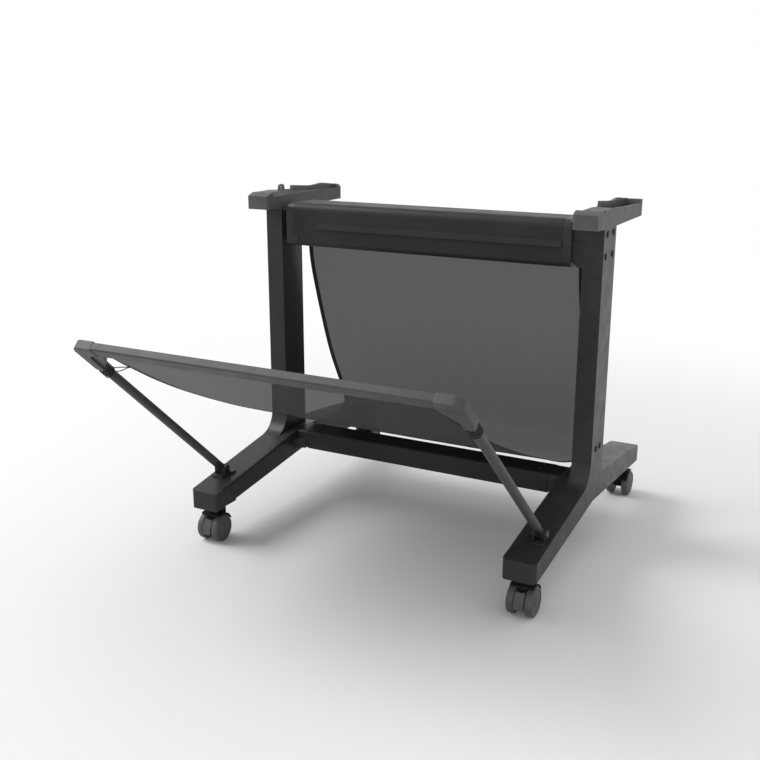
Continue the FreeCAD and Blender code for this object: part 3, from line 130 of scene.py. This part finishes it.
def buildStudio():
    world = bpy.data.worlds.new("paleRoom")
    world.use_nodes = True
    world.node_tree.nodes["Background"].inputs["Color"].default_value = (1, 1, 1, 1)
    world.node_tree.nodes["Background"].inputs["Strength"].default_value = studio["worldLight"]
    bpy.context.scene.world = world
    reach = studio["floorReach"]
    mesh = bpy.data.meshes.new("floor")
    corners = [(-reach, -reach, 0), (reach, -reach, 0), (reach, reach, 0), (-reach, reach, 0)]
    mesh.from_pydata(corners, [], [(0, 1, 2, 3)])
    floor = addObject("floor", mesh)
    paint = bpy.data.materials.new("paleFloor")
    paint.use_nodes = True
    tree = paint.node_tree
    tree.nodes.clear()
    place = addNode(tree, "ShaderNodeNewGeometry").outputs["Position"]
    distance = addNode(tree, "ShaderNodeVectorMath", operation="LENGTH")
    tree.links.new(place, distance.inputs[0])
    # Between fadeStart and fadeEnd the floor turns into a white glow: painted brightness that blends it into the
    # white backdrop and pales the lamps' shadows there.
    fadeRange = {1: studio["fadeStart"], 2: studio["fadeEnd"]}
    fade = addNode(tree, "ShaderNodeMapRange", fadeRange, interpolation_type="SMOOTHSTEP")
    tree.links.new(distance.outputs["Value"], fade.inputs[0])
    shade = studio["floorShade"]
    matt = addNode(tree, "ShaderNodeBsdfDiffuse", {"Color": (shade, shade, shade, 1)})
    bright = addNode(tree, "ShaderNodeEmission", {"Color": (1, 1, 1, 1), "Strength": 1.0})
    blendNode = addNode(tree, "ShaderNodeMixShader")
    tree.links.new(fade.outputs[0], blendNode.inputs[0])
    tree.links.new(matt.outputs[0], blendNode.inputs[1])
    tree.links.new(bright.outputs[0], blendNode.inputs[2])
    output = addNode(tree, "ShaderNodeOutputMaterial")
    tree.links.new(blendNode.outputs[0], output.inputs[0])
    mesh.materials.append(paint)
    for name in ("key", "fill"):
        lamp = bpy.data.lights.new(f"{name}Lamp", "AREA")
        lamp.shape = "DISK"
        lamp.size = studio[f"{name}Size"]
        lamp.energy = studio[f"{name}Power"]
        item = addObject(f"{name}Lamp", lamp)
        item.location = studio[f"{name}Place"]
        aim = Vector(studio["aim"]) - item.location
        item.rotation_euler = aim.to_track_quat("-Z", "Y").to_euler()
    bpy.context.scene.view_settings.view_transform = "Standard"


# Finishes: one dictionary row for each material slot of the record.

finishes = {
    "leg_plastic": {
        "colour": (0.018, 0.018, 0.019), "rough": 0.35, "grain": 1500, "relief": 0.10, "worn": 0.035, "gloss": 0.20,
    },
    "cover_plastic": {
        "colour": (0.014, 0.014, 0.015), "rough": 0.38, "grain": 1500, "relief": 0.10, "worn": 0.03,
    },
    "arm_plastic": {
        "colour": (0.050, 0.050, 0.051), "rough": 0.48, "grain": 1100, "relief": 0.22, "worn": 0.09,
    },
    "dark_plastic": {
        "colour": (0.018, 0.018, 0.019), "rough": 0.35, "grain": 1500, "relief": 0.10, "worn": 0.035, "gloss": 0.20,
    },
    "corner_plastic": {
        "colour": (0.037, 0.037, 0.038), "rough": 0.46, "grain": 1100, "relief": 0.20, "worn": 0.08,
    },
    "hinge_plastic": {
        "colour": (0.012, 0.012, 0.013), "rough": 0.42, "grain": 1300, "relief": 0.15, "worn": 0.04,
    },
    "caster_plastic": {
        "colour": (0.007, 0.007, 0.007), "rough": 0.62, "gloss": 0.08, "grain": 1300, "relief": 0.15, "worn": 0.03,
    },
    "wheel_plastic": {
        "colour": (0.052, 0.052, 0.054), "rough": 0.44, "grain": 900, "relief": 0.20, "worn": 0.06,
    },
    "black_screw": {
        "colour": (0.012, 0.012, 0.013), "rough": 0.34, "grain": 2200, "relief": 0.10, "worn": 0.10,
    },
    "elastic": {
        "colour": (0.014, 0.014, 0.015), "rough": 0.80, "grain": 1900, "relief": 0.60, "worn": 0.02,
    },
}
paints = {
    "painted_beam": {"colour": (0.018, 0.018, 0.019), "rough": 0.40, "peel": 420, "gloss": 0.14},
    "painted_tube": {"colour": (0.040, 0.040, 0.041), "rough": 0.42, "peel": 520, "gloss": 0.2},
}
metals = {
    "inner_steel": {"colour": (0.28, 0.28, 0.29), "rough": 0.45, "stretch": (40, 40, 1)},
    "pin_steel": {"colour": (0.10, 0.10, 0.102), "rough": 0.35, "stretch": (8, 8, 60)},
    "steel_rod": {"colour": (0.16, 0.16, 0.165), "rough": 0.40, "stretch": (1, 60, 60)},
}


def startMaterial(name):
    material = bpy.data.materials.new(name)
    material.use_nodes = True
    tree = material.node_tree
    place = addNode(tree, "ShaderNodeTexCoord").outputs["Object"]
    return material, tree, tree.nodes["Principled BSDF"], place


def addNoise(tree, place, scale, detail=3):
    node = addNode(tree, "ShaderNodeTexNoise", {"Scale": scale, "Detail": detail})
    tree.links.new(place, node.inputs["Vector"])
    return node.outputs["Fac"]


def addBump(tree, shader, height, strength, distance):
    node = addNode(tree, "ShaderNodeBump", {"Strength": strength, "Distance": distance})
    tree.links.new(height, node.inputs["Height"])
    tree.links.new(node.outputs["Normal"], shader.inputs["Normal"])


def scaled(colour, factor):
    return tuple(part * factor for part in colour)


# What handling and dust do to every moulded piece: noise scales, then how far each one goes.
wear = {
    "mottle": 26, "mottleDepth": 0.14, "patch": 90, "dust": 45, "smear": 38, "noiseLow": 0.3, "noiseHigh": 0.7,
    "edgeLow": 0.53, "edgeHigh": 0.62, "dustShare": 0.05, "dustColour": (0.12, 0.12, 0.12), "grainDepth": 0.00012,
    "gloss": 0.25,
}


def mouldedPlastic(name, look):
    material, tree, shader, place = startMaterial(name)
    low, high = wear["noiseLow"], wear["noiseHigh"]
    mottle = remap(tree, addNoise(tree, place, wear["mottle"]), low, high, 0, 1)
    depth = wear["mottleDepth"]
    colour = mixColours(tree, mottle, scaled(look["colour"], 1 - depth), scaled(look["colour"], 1 + depth))
    # Handling brightens the sharp edges in patches, and dust settles on level faces.
    geometry = addNode(tree, "ShaderNodeNewGeometry")
    edge = remap(tree, geometry.outputs["Pointiness"], wear["edgeLow"], wear["edgeHigh"], 0, 1)
    patch = remap(tree, addNoise(tree, place, wear["patch"]), 0.45, 0.65, 0.15, 0.8)
    colour = mixColours(tree, calculate(tree, "MULTIPLY", edge, patch), colour, (look["worn"],) * 3)
    upward = addNode(tree, "ShaderNodeSeparateXYZ")
    tree.links.new(geometry.outputs["Normal"], upward.inputs[0])
    level = remap(tree, upward.outputs["Z"], 0.75, 1.0, 0, wear["dustShare"])
    drift = remap(tree, addNoise(tree, place, wear["dust"], 5), 0.4, high, 0, 1)
    colour = mixColours(tree, calculate(tree, "MULTIPLY", level, drift), colour, wear["dustColour"])
    tree.links.new(colour, shader.inputs["Base Color"])
    smears = addNoise(tree, place, wear["smear"], 4)
    smear = remap(tree, smears, low, high, look["rough"] - 0.05, look["rough"] + 0.06)
    tree.links.new(smear, shader.inputs["Roughness"])
    shader.inputs["Specular IOR Level"].default_value = look.get("gloss", wear["gloss"])
    addBump(tree, shader, addNoise(tree, place, look["grain"], 2), look["relief"], wear["grainDepth"])
    return material


def paintedMetal(name, look):
    material, tree, shader, place = startMaterial(name)
    mottle = remap(tree, addNoise(tree, place, 12), 0.3, 0.7, 0, 1)
    colour = mixColours(tree, mottle, scaled(look["colour"], 0.88), scaled(look["colour"], 1.12))
    tree.links.new(colour, shader.inputs["Base Color"])
    smear = remap(tree, addNoise(tree, place, 30, 4), 0.3, 0.7, look["rough"] - 0.04, look["rough"] + 0.07)
    tree.links.new(smear, shader.inputs["Roughness"])
    shader.inputs["Specular IOR Level"].default_value = look["gloss"]
    addBump(tree, shader, addNoise(tree, place, look["peel"], 1), 0.12, 0.0002)
    return material


def drawnSteel(name, look):
    material, tree, shader, place = startMaterial(name)
    mapping = addNode(tree, "ShaderNodeMapping", {"Scale": look["stretch"]})
    tree.links.new(place, mapping.inputs["Vector"])
    streaks = addNoise(tree, mapping.outputs[0], 30, 4)
    share = remap(tree, streaks, 0.3, 0.7, 0, 1)
    colour = mixColours(tree, share, scaled(look["colour"], 0.8), scaled(look["colour"], 1.15))
    tree.links.new(colour, shader.inputs["Base Color"])
    smear = remap(tree, streaks, 0.3, 0.7, look["rough"] - 0.08, look["rough"] + 0.08)
    tree.links.new(smear, shader.inputs["Roughness"])
    shader.inputs["Metallic"].default_value = 1.0
    addBump(tree, shader, streaks, 0.10, 0.0001)
    return material


clothLook = {
    "light": (0.016, 0.016, 0.017), "dark": (0.010, 0.010, 0.011), "thread": 0.0011, "cover": 0.907,
    "sheen": 0.01, "gloss": 0.2, "weaveDepth": 0.0003,
}


def meshCloth(name, look):
    material, tree, shader, place = startMaterial(name)
    weave = addNode(tree, "ShaderNodeUVMap", uv_map="threads")
    split = addNode(tree, "ShaderNodeSeparateXYZ")
    tree.links.new(weave.outputs[0], split.inputs[0])
    turns = 2 * math.pi / look["thread"]
    waves = [
        calculate(tree, "SINE", calculate(tree, "MULTIPLY", split.outputs[axis], turns))
        for axis in ("X", "Y")
    ]
    crossing = remap(tree, calculate(tree, "MULTIPLY", *waves), -1, 1, 0, 1)
    uneven = remap(tree, addNoise(tree, place, 9, 5), 0.3, 0.7, 0.2, 0.8)
    halves = [calculate(tree, "MULTIPLY", part, 0.5) for part in (crossing, uneven)]
    share = calculate(tree, "ADD", *halves)
    tree.links.new(mixColours(tree, share, look["dark"], look["light"]), shader.inputs["Base Color"])
    tree.links.new(remap(tree, crossing, 0, 1, 0.62, 0.8), shader.inputs["Roughness"])
    shader.inputs["Alpha"].default_value = look["cover"]
    shader.inputs["Sheen Weight"].default_value = look["sheen"]
    shader.inputs["Sheen Roughness"].default_value = 0.5
    shader.inputs["Specular IOR Level"].default_value = look["gloss"]
    addBump(tree, shader, crossing, 0.35, look["weaveDepth"])
    return material


materials = {}
extraFinishes = {
    "edgeBinding": {"colour": (0.012, 0.012, 0.013), "rough": 0.75, "grain": 1700, "relief": 0.5, "worn": 0.015},
    "brakePedal": {"colour": (0.05, 0.05, 0.052), "rough": 0.45, "grain": 1100, "relief": 0.2, "worn": 0.07},
}


def mixFinishes():
    for name, look in finishes.items():
        materials[name] = mouldedPlastic(name, look)
    for name, look in paints.items():
        materials[name] = paintedMetal(name, look)
    for name, look in metals.items():
        materials[name] = drawnSteel(name, look)
    materials["mesh_cloth"] = meshCloth("mesh_cloth", clothLook)
    for name, look in extraFinishes.items():
        materials[name] = mouldedPlastic(name, look)


# Mesh helpers.

def shadeSmooth(mesh, angle=35):
    for face in mesh.polygons:
        face.use_smooth = True
    mesh.set_sharp_from_angle(angle=math.radians(angle))


def bakeModifiers(piece):
    graph = bpy.context.evaluated_depsgraph_get()
    piece.data = bpy.data.meshes.new_from_object(piece.evaluated_get(graph))
    piece.modifiers.clear()


def softenPiece(piece, width, segments=2, angle=30):
    bevel = piece.modifiers.new("softEdges", "BEVEL")
    bevel.width = width
    bevel.segments = segments
    bevel.limit_method = "ANGLE"
    bevel.angle_limit = math.radians(angle)
    bakeModifiers(piece)
    shadeSmooth(piece.data, 50)
    weigh = piece.modifiers.new("flatFaces", "WEIGHTED_NORMAL")
    weigh.weight = 80
    weigh.keep_sharp = True
    bakeModifiers(piece)


def attach(piece, body, slot, nodes=(), material=None):
    piece.data.materials.clear()
    piece.data.materials.append(materials[material or slot])
    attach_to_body(piece, body)
    if nodes:
        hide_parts(*nodes)
    return piece


def meshFrom(name, shape):
    mesh = bpy.data.meshes.new(name)
    shape.to_mesh(mesh)
    shape.free()
    return mesh


def addSkin(shape, rings):
    for near, far in zip(rings, rings[1:]):
        for place in range(len(near)):
            after = (place + 1) % len(near)
            shape.faces.new((near[place], near[after], far[after], far[place]))
    shape.faces.new(rings[0])
    shape.faces.new(list(reversed(rings[-1])))
    bmesh.ops.recalc_face_normals(shape, faces=shape.faces)


# Moulded and bent pieces keep the frame's shape and get the soft edges that a mould or a press leaves.

edgeWidths = {
    "leg_shell": 0.0018, "foot_cover": 0.001, "upright_cover": 0.001, "top_arm": 0.0016,
    "upper_crossbar": 0.0003, "crossbar_cap": 0.0003, "crossbar_clip": 0.0008, "head_block": 0.0004,
    "lower_beam": 0.0006, "beam_bracket": 0.0012, "strut_bracket": 0.0006, "strut_knuckle": 0.0006,
    "caster_hood": 0.0008, "brake_lever": 0.0008, "caster_sockets": 0.0012, "leg_screws": 0.0003,
    "beam_screws": 0.0003, "locating_pin": 0.0003,
}
blockRecess = 0.024


def softenNode(node, width):
    source = bmesh.new()
    source.from_mesh(frame["nodes"][node].data)
    bmesh.ops.remove_doubles(source, verts=source.verts, dist=0.00001)
    bmesh.ops.dissolve_limit(source, angle_limit=math.radians(1), verts=source.verts, edges=source.edges)
    source.verts.index_update()
    points = [vertex.co.copy() for vertex in source.verts]
    if node == "head_block_left":
        # The left block sits back, which leaves a dark gap beside the upright.
        rear, front = max(point.y for point in points), min(point.y for point in points)
        for point in points:
            point.y = rear - (rear - point.y) * (rear - front - blockRecess) / (rear - front)
    faces = [[vertex.index for vertex in face.verts] for face in source.faces]
    source.free()
    mesh = bpy.data.meshes.new(f"{node}.soft")
    mesh.from_pydata(points, [], faces)
    piece = addObject(f"{node}.soft", mesh)
    softenPiece(piece, width)
    material = "brakePedal" if node.startswith("brake_lever") else None
    return attach(piece, bodyOf[node], slotOf[node], (node,), material)


def buildMouldings():
    for node in sorted(frame["nodes"]):
        for family, width in edgeWidths.items():
            if node.startswith(family):
                softenNode(node, width)
    for node, item in frame["nodes"].items():
        for holder in item.material_slots:
            holder.material = materials[slotOf[node]]


# A raised rib along the crossbar, its face tipped slightly upward.

rib = {
    "start": -0.246, "end": 0.301, "low": 0.6345, "high": 0.6485, "face": -0.0148, "proud": 0.0024,
    "taper": 0.008, "flush": 0.0002,
}


def buildRib():
    shape = bmesh.new()
    low, high, face = rib["low"], rib["high"], rib["face"] + standShift
    rings = []
    for x, proud in (
        (rib["start"], rib["flush"]), (rib["start"] + rib["taper"], rib["proud"]),
        (rib["end"] - rib["taper"], rib["proud"]), (rib["end"], rib["flush"]),
    ):
        section = (
            (0.0020, low), (-proud, low + 0.0012), (-proud * 0.95, low + 0.0022), (0.0, high - 0.0006),
            (0.0020, high),
        )
        rings.append([shape.verts.new((x, face + depth, height)) for depth, height in section])
    addSkin(shape, rings)
    piece = addObject("crossbarRib", meshFrom("crossbarRib", shape))
    shadeSmooth(piece.data, 40)
    attach(piece, "stand", slotOf["upper_crossbar"])


# A dark strip along the top of each foot, where its inner cover meets the shell: painted shade standing in for the
# shadow inside the seam between them.

seamShade = {"inner": 0.3174, "above": 0.11, "face": 0.3148, "back": 0.3156, "top": 0.0010, "bottom": 0.0036}


def buildSeamShade(side, sign):
    heights = {}
    for vertex in frame["nodes"][f"foot_cover_{side}"].data.vertices:
        x, y, z = vertex.co
        if abs(x) > seamShade["inner"]:
            heights[round(y, 4)] = max(z, heights.get(round(y, 4), 0))
    levels = sorted((y, z) for y, z in heights.items() if z > seamShade["above"])
    shape = bmesh.new()
    rows = [
        [
            shape.verts.new((sign * seamShade[edge], y, z - seamShade[drop]))
            for edge, drop in (("face", "top"), ("back", "top"), ("back", "bottom"), ("face", "bottom"))
        ]
        for y, z in levels
    ]
    addSkin(shape, rows)
    piece = addObject(f"footSeamShade.{side}", meshFrom(f"footSeamShade.{side}", shape))
    # The darkest plastic gives the strip its painted seam shade.
    attach(piece, "stand", slotOf[f"foot_cover_{side}"], material="caster_plastic")


# Rounded webs that stiffen the joint between the beam's brackets and the feet.

web = {"foot": 0.3151, "front": 0.006, "round": 0.020, "low": 0.1250, "high": 0.1480, "into": 0.004}


def buildWeb(side, sign):
    shape = bmesh.new()
    reach, radius, front = web["foot"], web["round"], web["front"] + standShift
    outline = [(reach, front + web["into"]), (reach - radius, front + web["into"]), (reach - radius, front)]
    for step in range(1, 9):
        turn = math.radians(step * 90 / 8)
        across, along = radius * math.sin(turn), radius * math.cos(turn)
        outline.append((reach - radius + across, front - radius + along))
    low = [shape.verts.new((sign * x, y, web["low"])) for x, y in outline]
    high = [shape.verts.new((sign * x, y, web["high"])) for x, y in outline]
    shape.faces.new(low)
    shape.faces.new(list(reversed(high)))
    for place in range(len(outline)):
        after = (place + 1) % len(outline)
        shape.faces.new((low[place], high[place], high[after], low[after]))
    bmesh.ops.recalc_face_normals(shape, faces=shape.faces)
    piece = addObject(f"beamWeb.{side}", meshFrom(f"beamWeb.{side}", shape))
    shadeSmooth(piece.data, 30)
    attach(piece, "stand", slotOf[f"beam_bracket_{side}"])


# Casters: each wheel is turned from one outline, from its inner face to its hub cap.

wheel = {"width": 0.0155, "steps": 72}
wheelOutline = [
    (0.0, 0.0042), (0.0, 0.0100), (0.0012, 0.0108), (0.0012, 0.0225), (0.0, 0.0235), (0.0003, 0.0266),
    (0.0012, 0.0280), (0.0026, 0.0288), (0.0045, 0.0290), (0.0095, 0.0290), (0.0118, 0.02865),
    (0.0134, 0.0276), (0.0146, 0.0260), (0.0151, 0.0243), (0.0148, 0.0232), (0.0139, 0.0226),
    (0.0140, 0.0170), (0.0145, 0.0110), (0.0149, 0.0092), (0.0155, 0.0086), (0.0155, 0.0030), (0.0155, 0.0),
]


def buildWheel(node):
    low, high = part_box(node)
    centre = (Vector(low) + Vector(high)) / 2
    hoodLow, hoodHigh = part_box(node.replace("caster_wheel", "caster_hood").rsplit("_", 1)[0])
    outward = 1 if centre.x > (hoodLow[0] + hoodHigh[0]) / 2 else -1
    shape = bmesh.new()
    rings = []
    for along, radius in wheelOutline:
        x = centre.x + outward * (along - wheel["width"] / 2)
        if radius == 0:
            rings.append([shape.verts.new((x, centre.y, centre.z))])
            continue
        ring = []
        for step in range(wheel["steps"]):
            turn = 2 * math.pi * step / wheel["steps"]
            y, z = centre.y + radius * math.cos(turn), centre.z + radius * math.sin(turn)
            ring.append(shape.verts.new((x, y, z)))
        rings.append(ring)
    for near, far in zip(rings, rings[1:]):
        for step in range(wheel["steps"]):
            after = (step + 1) % wheel["steps"]
            if len(far) == 1:
                shape.faces.new((near[step], near[after], far[0]))
            else:
                shape.faces.new((near[step], near[after], far[after], far[step]))
    shape.faces.new(rings[0])
    bmesh.ops.recalc_face_normals(shape, faces=shape.faces)
    piece = addObject(f"{node}.turned", meshFrom(f"{node}.turned", shape))
    shadeSmooth(piece.data, 40)
    attach(piece, bodyOf[node], slotOf[node], (node,))


# Corners of the basket's bar, drawn flat in the basket's own frame and given their thickness.

corner = {
    "outer": 0.3685, "sleeveEnd": 0.3235, "top": 0.5333, "sleeveLow": 0.5075, "round": 0.016,
    "legInner": 0.3478, "legLow": 0.4520, "thick": 0.0182, "web": 0.010, "edge": 0.0016,
}


def cornerOutline():
    outer, top, radius = corner["outer"], corner["top"], corner["round"]
    points = [(corner["sleeveEnd"], corner["sleeveLow"]), (corner["sleeveEnd"], top)]
    for step in range(9):
        turn = math.radians(90 - step * 90 / 8)
        points.append((outer - radius + radius * math.cos(turn), top - radius + radius * math.sin(turn)))
    points += [
        (outer, corner["legLow"] + 0.004), (outer - 0.003, corner["legLow"]),
        (corner["legInner"] + 0.002, corner["legLow"]),
        (corner["legInner"], corner["legLow"] + 0.003), (corner["legInner"], corner["sleeveLow"] - 0.014),
        (corner["legInner"] - 0.004, corner["sleeveLow"] - 0.004), (corner["legInner"] - 0.012, corner["sleeveLow"]),
    ]
    return points


gussetOutline = [
    (0.3490, 0.4560), (0.3395, 0.4665), (0.3260, 0.4850), (0.3180, 0.5005), (0.3140, 0.5060), (0.3170, 0.5090),
    (0.3300, 0.5100), (0.3490, 0.5100),
]


def addSlab(shape, outline, thick, side):
    faces = []
    for depth in (-thick / 2, thick / 2):
        ring = [shape.verts.new((side * x, depth, z)) for x, z in outline]
        faces.append(ring)
    near, far = faces
    shape.faces.new(near)
    shape.faces.new(list(reversed(far)))
    for step in range(len(outline)):
        after = (step + 1) % len(outline)
        shape.faces.new((near[step], far[step], far[after], near[after]))


def buildCorner(side, sign):
    node = f"bar_corner_{side}"
    shape = bmesh.new()
    addSlab(shape, cornerOutline(), corner["thick"], sign)
    addSlab(shape, gussetOutline, corner["web"], sign)
    bmesh.ops.recalc_face_normals(shape, faces=shape.faces)
    mesh = meshFrom(f"{node}.moulded", shape)
    piece = addObject(f"{node}.moulded", mesh)
    softenPiece(piece, corner["edge"], 3, 35)
    piece.data.transform(basketPlace)
    attach(piece, "basket", slotOf[node], (node,))


# Elastic ties: a loop at each corner of the cloth, hooked over windings round the strut.

tie = {
    "cord": 0.0011, "corner": (0.3125, 0.0115, 0.4400), "strut": 0.358, "winding": 0.0105, "lean": 0.0016,
    "turns": ((0.4485, 1), (0.4440, -1), (0.4395, 1), (0.4350, -1), (0.4310, 1)),
    "strands": ((0.4470, 0.002), (0.4320, -0.002)), "knot": 0.0024, "hoopSteps": 28, "strandSteps": 14,
}


def smoothPath(points, count):
    path = []
    padded = [points[0] * 2 - points[1]] + list(points) + [points[-1] * 2 - points[-2]]
    spans = len(points) - 1
    for step in range(count + 1):
        place = step / count * spans
        span = min(int(place), spans - 1)
        t = place - span
        a, b, c, d = padded[span:span + 4]
        square, cube = 2 * a - 5 * b + 4 * c - d, 3 * b - a - 3 * c + d
        path.append(0.5 * (2 * b + (c - a) * t + square * t * t + cube * t ** 3))
    return path


def addTube(shape, path, radius, sides=8, ring=False):
    rings = []
    normal = Vector((0, 0, 1)).cross(path[1] - path[0])
    if normal.length < 1e-9:
        normal = Vector((1, 0, 0))
    count = len(path)
    for step, point in enumerate(path):
        before = path[(step - 1) % count] if ring or step else path[0]
        after = path[(step + 1) % count] if ring or step < count - 1 else path[-1]
        direction = (after - before).normalized()
        normal = (normal - direction * normal.dot(direction)).normalized()
        across = direction.cross(normal)
        rings.append([
            shape.verts.new(point + radius * (math.cos(turn) * normal + math.sin(turn) * across))
            for turn in (2 * math.pi * place / sides for place in range(sides))
        ])
    pairs = list(zip(rings, rings[1:])) + ([(rings[-1], rings[0])] if ring else [])
    for near, far in pairs:
        for place in range(sides):
            after = (place + 1) % sides
            shape.faces.new((near[place], near[after], far[after], far[place]))
    if not ring:
        shape.faces.new(list(reversed(rings[0])))
        shape.faces.new(rings[-1])


def buildTie(side, sign):
    node = f"corner_tie_{side}"
    shape = bmesh.new()
    for height, lean in tie["turns"]:
        hoop = [
            Vector((
                sign * (tie["strut"] + tie["winding"] * math.cos(turn)), tie["winding"] * math.sin(turn),
                height + lean * tie["lean"] * math.sin(turn),
            ))
            for turn in (2 * math.pi * step / tie["hoopSteps"] for step in range(tie["hoopSteps"]))
        ]
        addTube(shape, hoop, tie["cord"], ring=True)
    x, y, z = tie["corner"]
    clothCorner = Vector((sign * x, y, z))
    for height, lift in tie["strands"]:
        end = Vector((sign * (tie["strut"] - tie["winding"]), 0.001, height))
        middle = (clothCorner + end) / 2 + Vector((0, -0.001, lift))
        strand = smoothPath([clothCorner, middle, end], tie["strandSteps"])
        addTube(shape, strand, tie["cord"] * 0.85)
    knotPlace = Matrix.Translation(clothCorner)
    bmesh.ops.create_icosphere(shape, subdivisions=2, radius=tie["knot"], matrix=knotPlace)
    bmesh.ops.recalc_face_normals(shape, faces=shape.faces)
    piece = addObject(f"{node}.elastic", meshFrom(f"{node}.elastic", shape))
    shadeSmooth(piece.data, 60)
    piece.data.transform(basketPlace)
    attach(piece, "basket", slotOf[node], (node,))


# Catch cloth: one sheet from the rod behind the crossbar, round the bag, to the basket's bar.

cloth = {
    "halfWidth": 0.311, "columns": 60, "rows": 170, "sag": 0.0015, "ripple": 0.0012,
    "binding": 0.009, "bindingThick": 0.0012, "fineSteps": 900, "riseStart": 0.08, "riseEnd": 0.06,
    "waves": ((1, 11, 3.2, 0.7), (0.4, 31, 5, 4.1)),
    "bendStart": (-0.060, 0.250), "bendEnd": (-0.360, 0.380),
}
clothProfile = [
    (0.0700, 0.6240), (0.0758, 0.6185), (0.0878, 0.5285), (0.1549, 0.3364), (0.2258, 0.1964), (0.2158, 0.1664),
    (0.1358, 0.1623), (0.0110, 0.1960), (-0.1090, 0.2423), (-0.2450, 0.2967), (-0.4094, 0.3730),
    (-0.5444, 0.4485), (-0.6028, 0.4852),
]


def clothLine():
    points = [Vector((0, y + standShift, z)) for y, z in clothProfile]
    fine = smoothPath(points, cloth["fineSteps"])
    lengths = [0.0]
    for near, far in zip(fine, fine[1:]):
        lengths.append(lengths[-1] + (far - near).length)
    line = []
    index = 0
    for row in range(cloth["rows"] + 1):
        wanted = lengths[-1] * row / cloth["rows"]
        while index < len(lengths) - 2 and lengths[index + 1] < wanted:
            index += 1
        share = (wanted - lengths[index]) / max(lengths[index + 1] - lengths[index], 1e-9)
        line.append(fine[index].lerp(fine[index + 1], share))
    return line, lengths[-1]


def lineNormal(line, row):
    before, after = line[max(row - 1, 0)], line[min(row + 1, len(line) - 1)]
    along = (after - before).normalized()
    return Vector((0, -along.z, along.y))


def clothOffset(across, share):
    belly = 1 - (across / cloth["halfWidth"]) ** 2
    ends = min(share / cloth["riseStart"], (1 - share) / cloth["riseEnd"], 1)
    ripple = sum(
        gain * noise.noise(Vector((across * wide, share * long, layer))) for gain, wide, long, layer in cloth["waves"]
    )
    return ends * (cloth["sag"] * belly * math.sin(math.pi * share) + cloth["ripple"] * ripple)


def buildCloth():
    line, length = clothLine()
    normals = [lineNormal(line, row) for row in range(len(line))]
    shape = bmesh.new()
    threads = shape.loops.layers.uv.new("threads")
    half = cloth["halfWidth"]
    grid = []
    for row, point in enumerate(line):
        share = row / cloth["rows"]
        verts = []
        for column in range(cloth["columns"] + 1):
            across = -half + 2 * half * column / cloth["columns"]
            lift = normals[row] * clothOffset(across, share)
            verts.append(shape.verts.new(point + Vector((across, 0, 0)) + lift))
        grid.append(verts)
    shape.verts.index_update()
    for row in range(cloth["rows"]):
        for column in range(cloth["columns"]):
            near, far = grid[row], grid[row + 1]
            face = shape.faces.new((near[column], near[column + 1], far[column + 1], far[column]))
            for loop in face.loops:
                vertexRow, vertexColumn = divmod(loop.vert.index, cloth["columns"] + 1)
                across = 2 * half * vertexColumn / cloth["columns"]
                loop[threads].uv = (across, length * vertexRow / cloth["rows"])
    sheet = addObject("catchCloth", meshFrom("catchCloth", shape))
    shadeSmooth(sheet.data, 60)
    sheet.data.materials.append(materials["mesh_cloth"])
    bindings = [buildBinding(line, normals, side, sign) for side, sign in sides.items()]
    for piece in [sheet] + bindings:
        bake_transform(piece)
    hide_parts("cloth_rear_panel", "cloth_front_panel")
    print("cloth", round(length, 4))


def buildBinding(line, normals, side, sign):
    shape = bmesh.new()
    half, wide, thick = cloth["halfWidth"], cloth["binding"], cloth["bindingThick"] / 2
    section = [
        (-0.001, -thick), (-0.001, thick), (wide * 0.7, thick), (wide, thick * 0.5), (wide, -thick * 0.5),
        (wide * 0.7, -thick),
    ]
    rings = []
    for row, point in enumerate(line):
        share = row / cloth["rows"]
        narrow = 1 if share < 0.9 else max(0.15, 1 - (share - 0.9) / 0.08 * 0.85)
        base = point + normals[row] * clothOffset(half, share)
        rings.append([
            shape.verts.new(base + Vector((sign * (half + out * narrow), 0, 0)) + normals[row] * lift)
            for out, lift in section
        ])
    addSkin(shape, rings)
    piece = addObject(f"clothBinding.{side}", meshFrom(f"clothBinding.{side}", shape))
    shadeSmooth(piece.data, 50)
    piece.data.materials.append(materials["edgeBinding"])
    return piece


placeCamera()
buildStudio()
print("studio ready")
mixFinishes()
buildMouldings()
buildRib()
print("mouldings ready")
for wheelNode in sorted(node for node in frame["nodes"] if node.startswith("caster_wheel")):
    buildWheel(wheelNode)
for sideName, sideSign in sides.items():
    buildCorner(sideName, sideSign)
    buildTie(sideName, sideSign)
    buildWeb(sideName, sideSign)
    buildSeamShade(sideName, sideSign)
print("casters and basket ready")
buildCloth()
print("cloth ready")
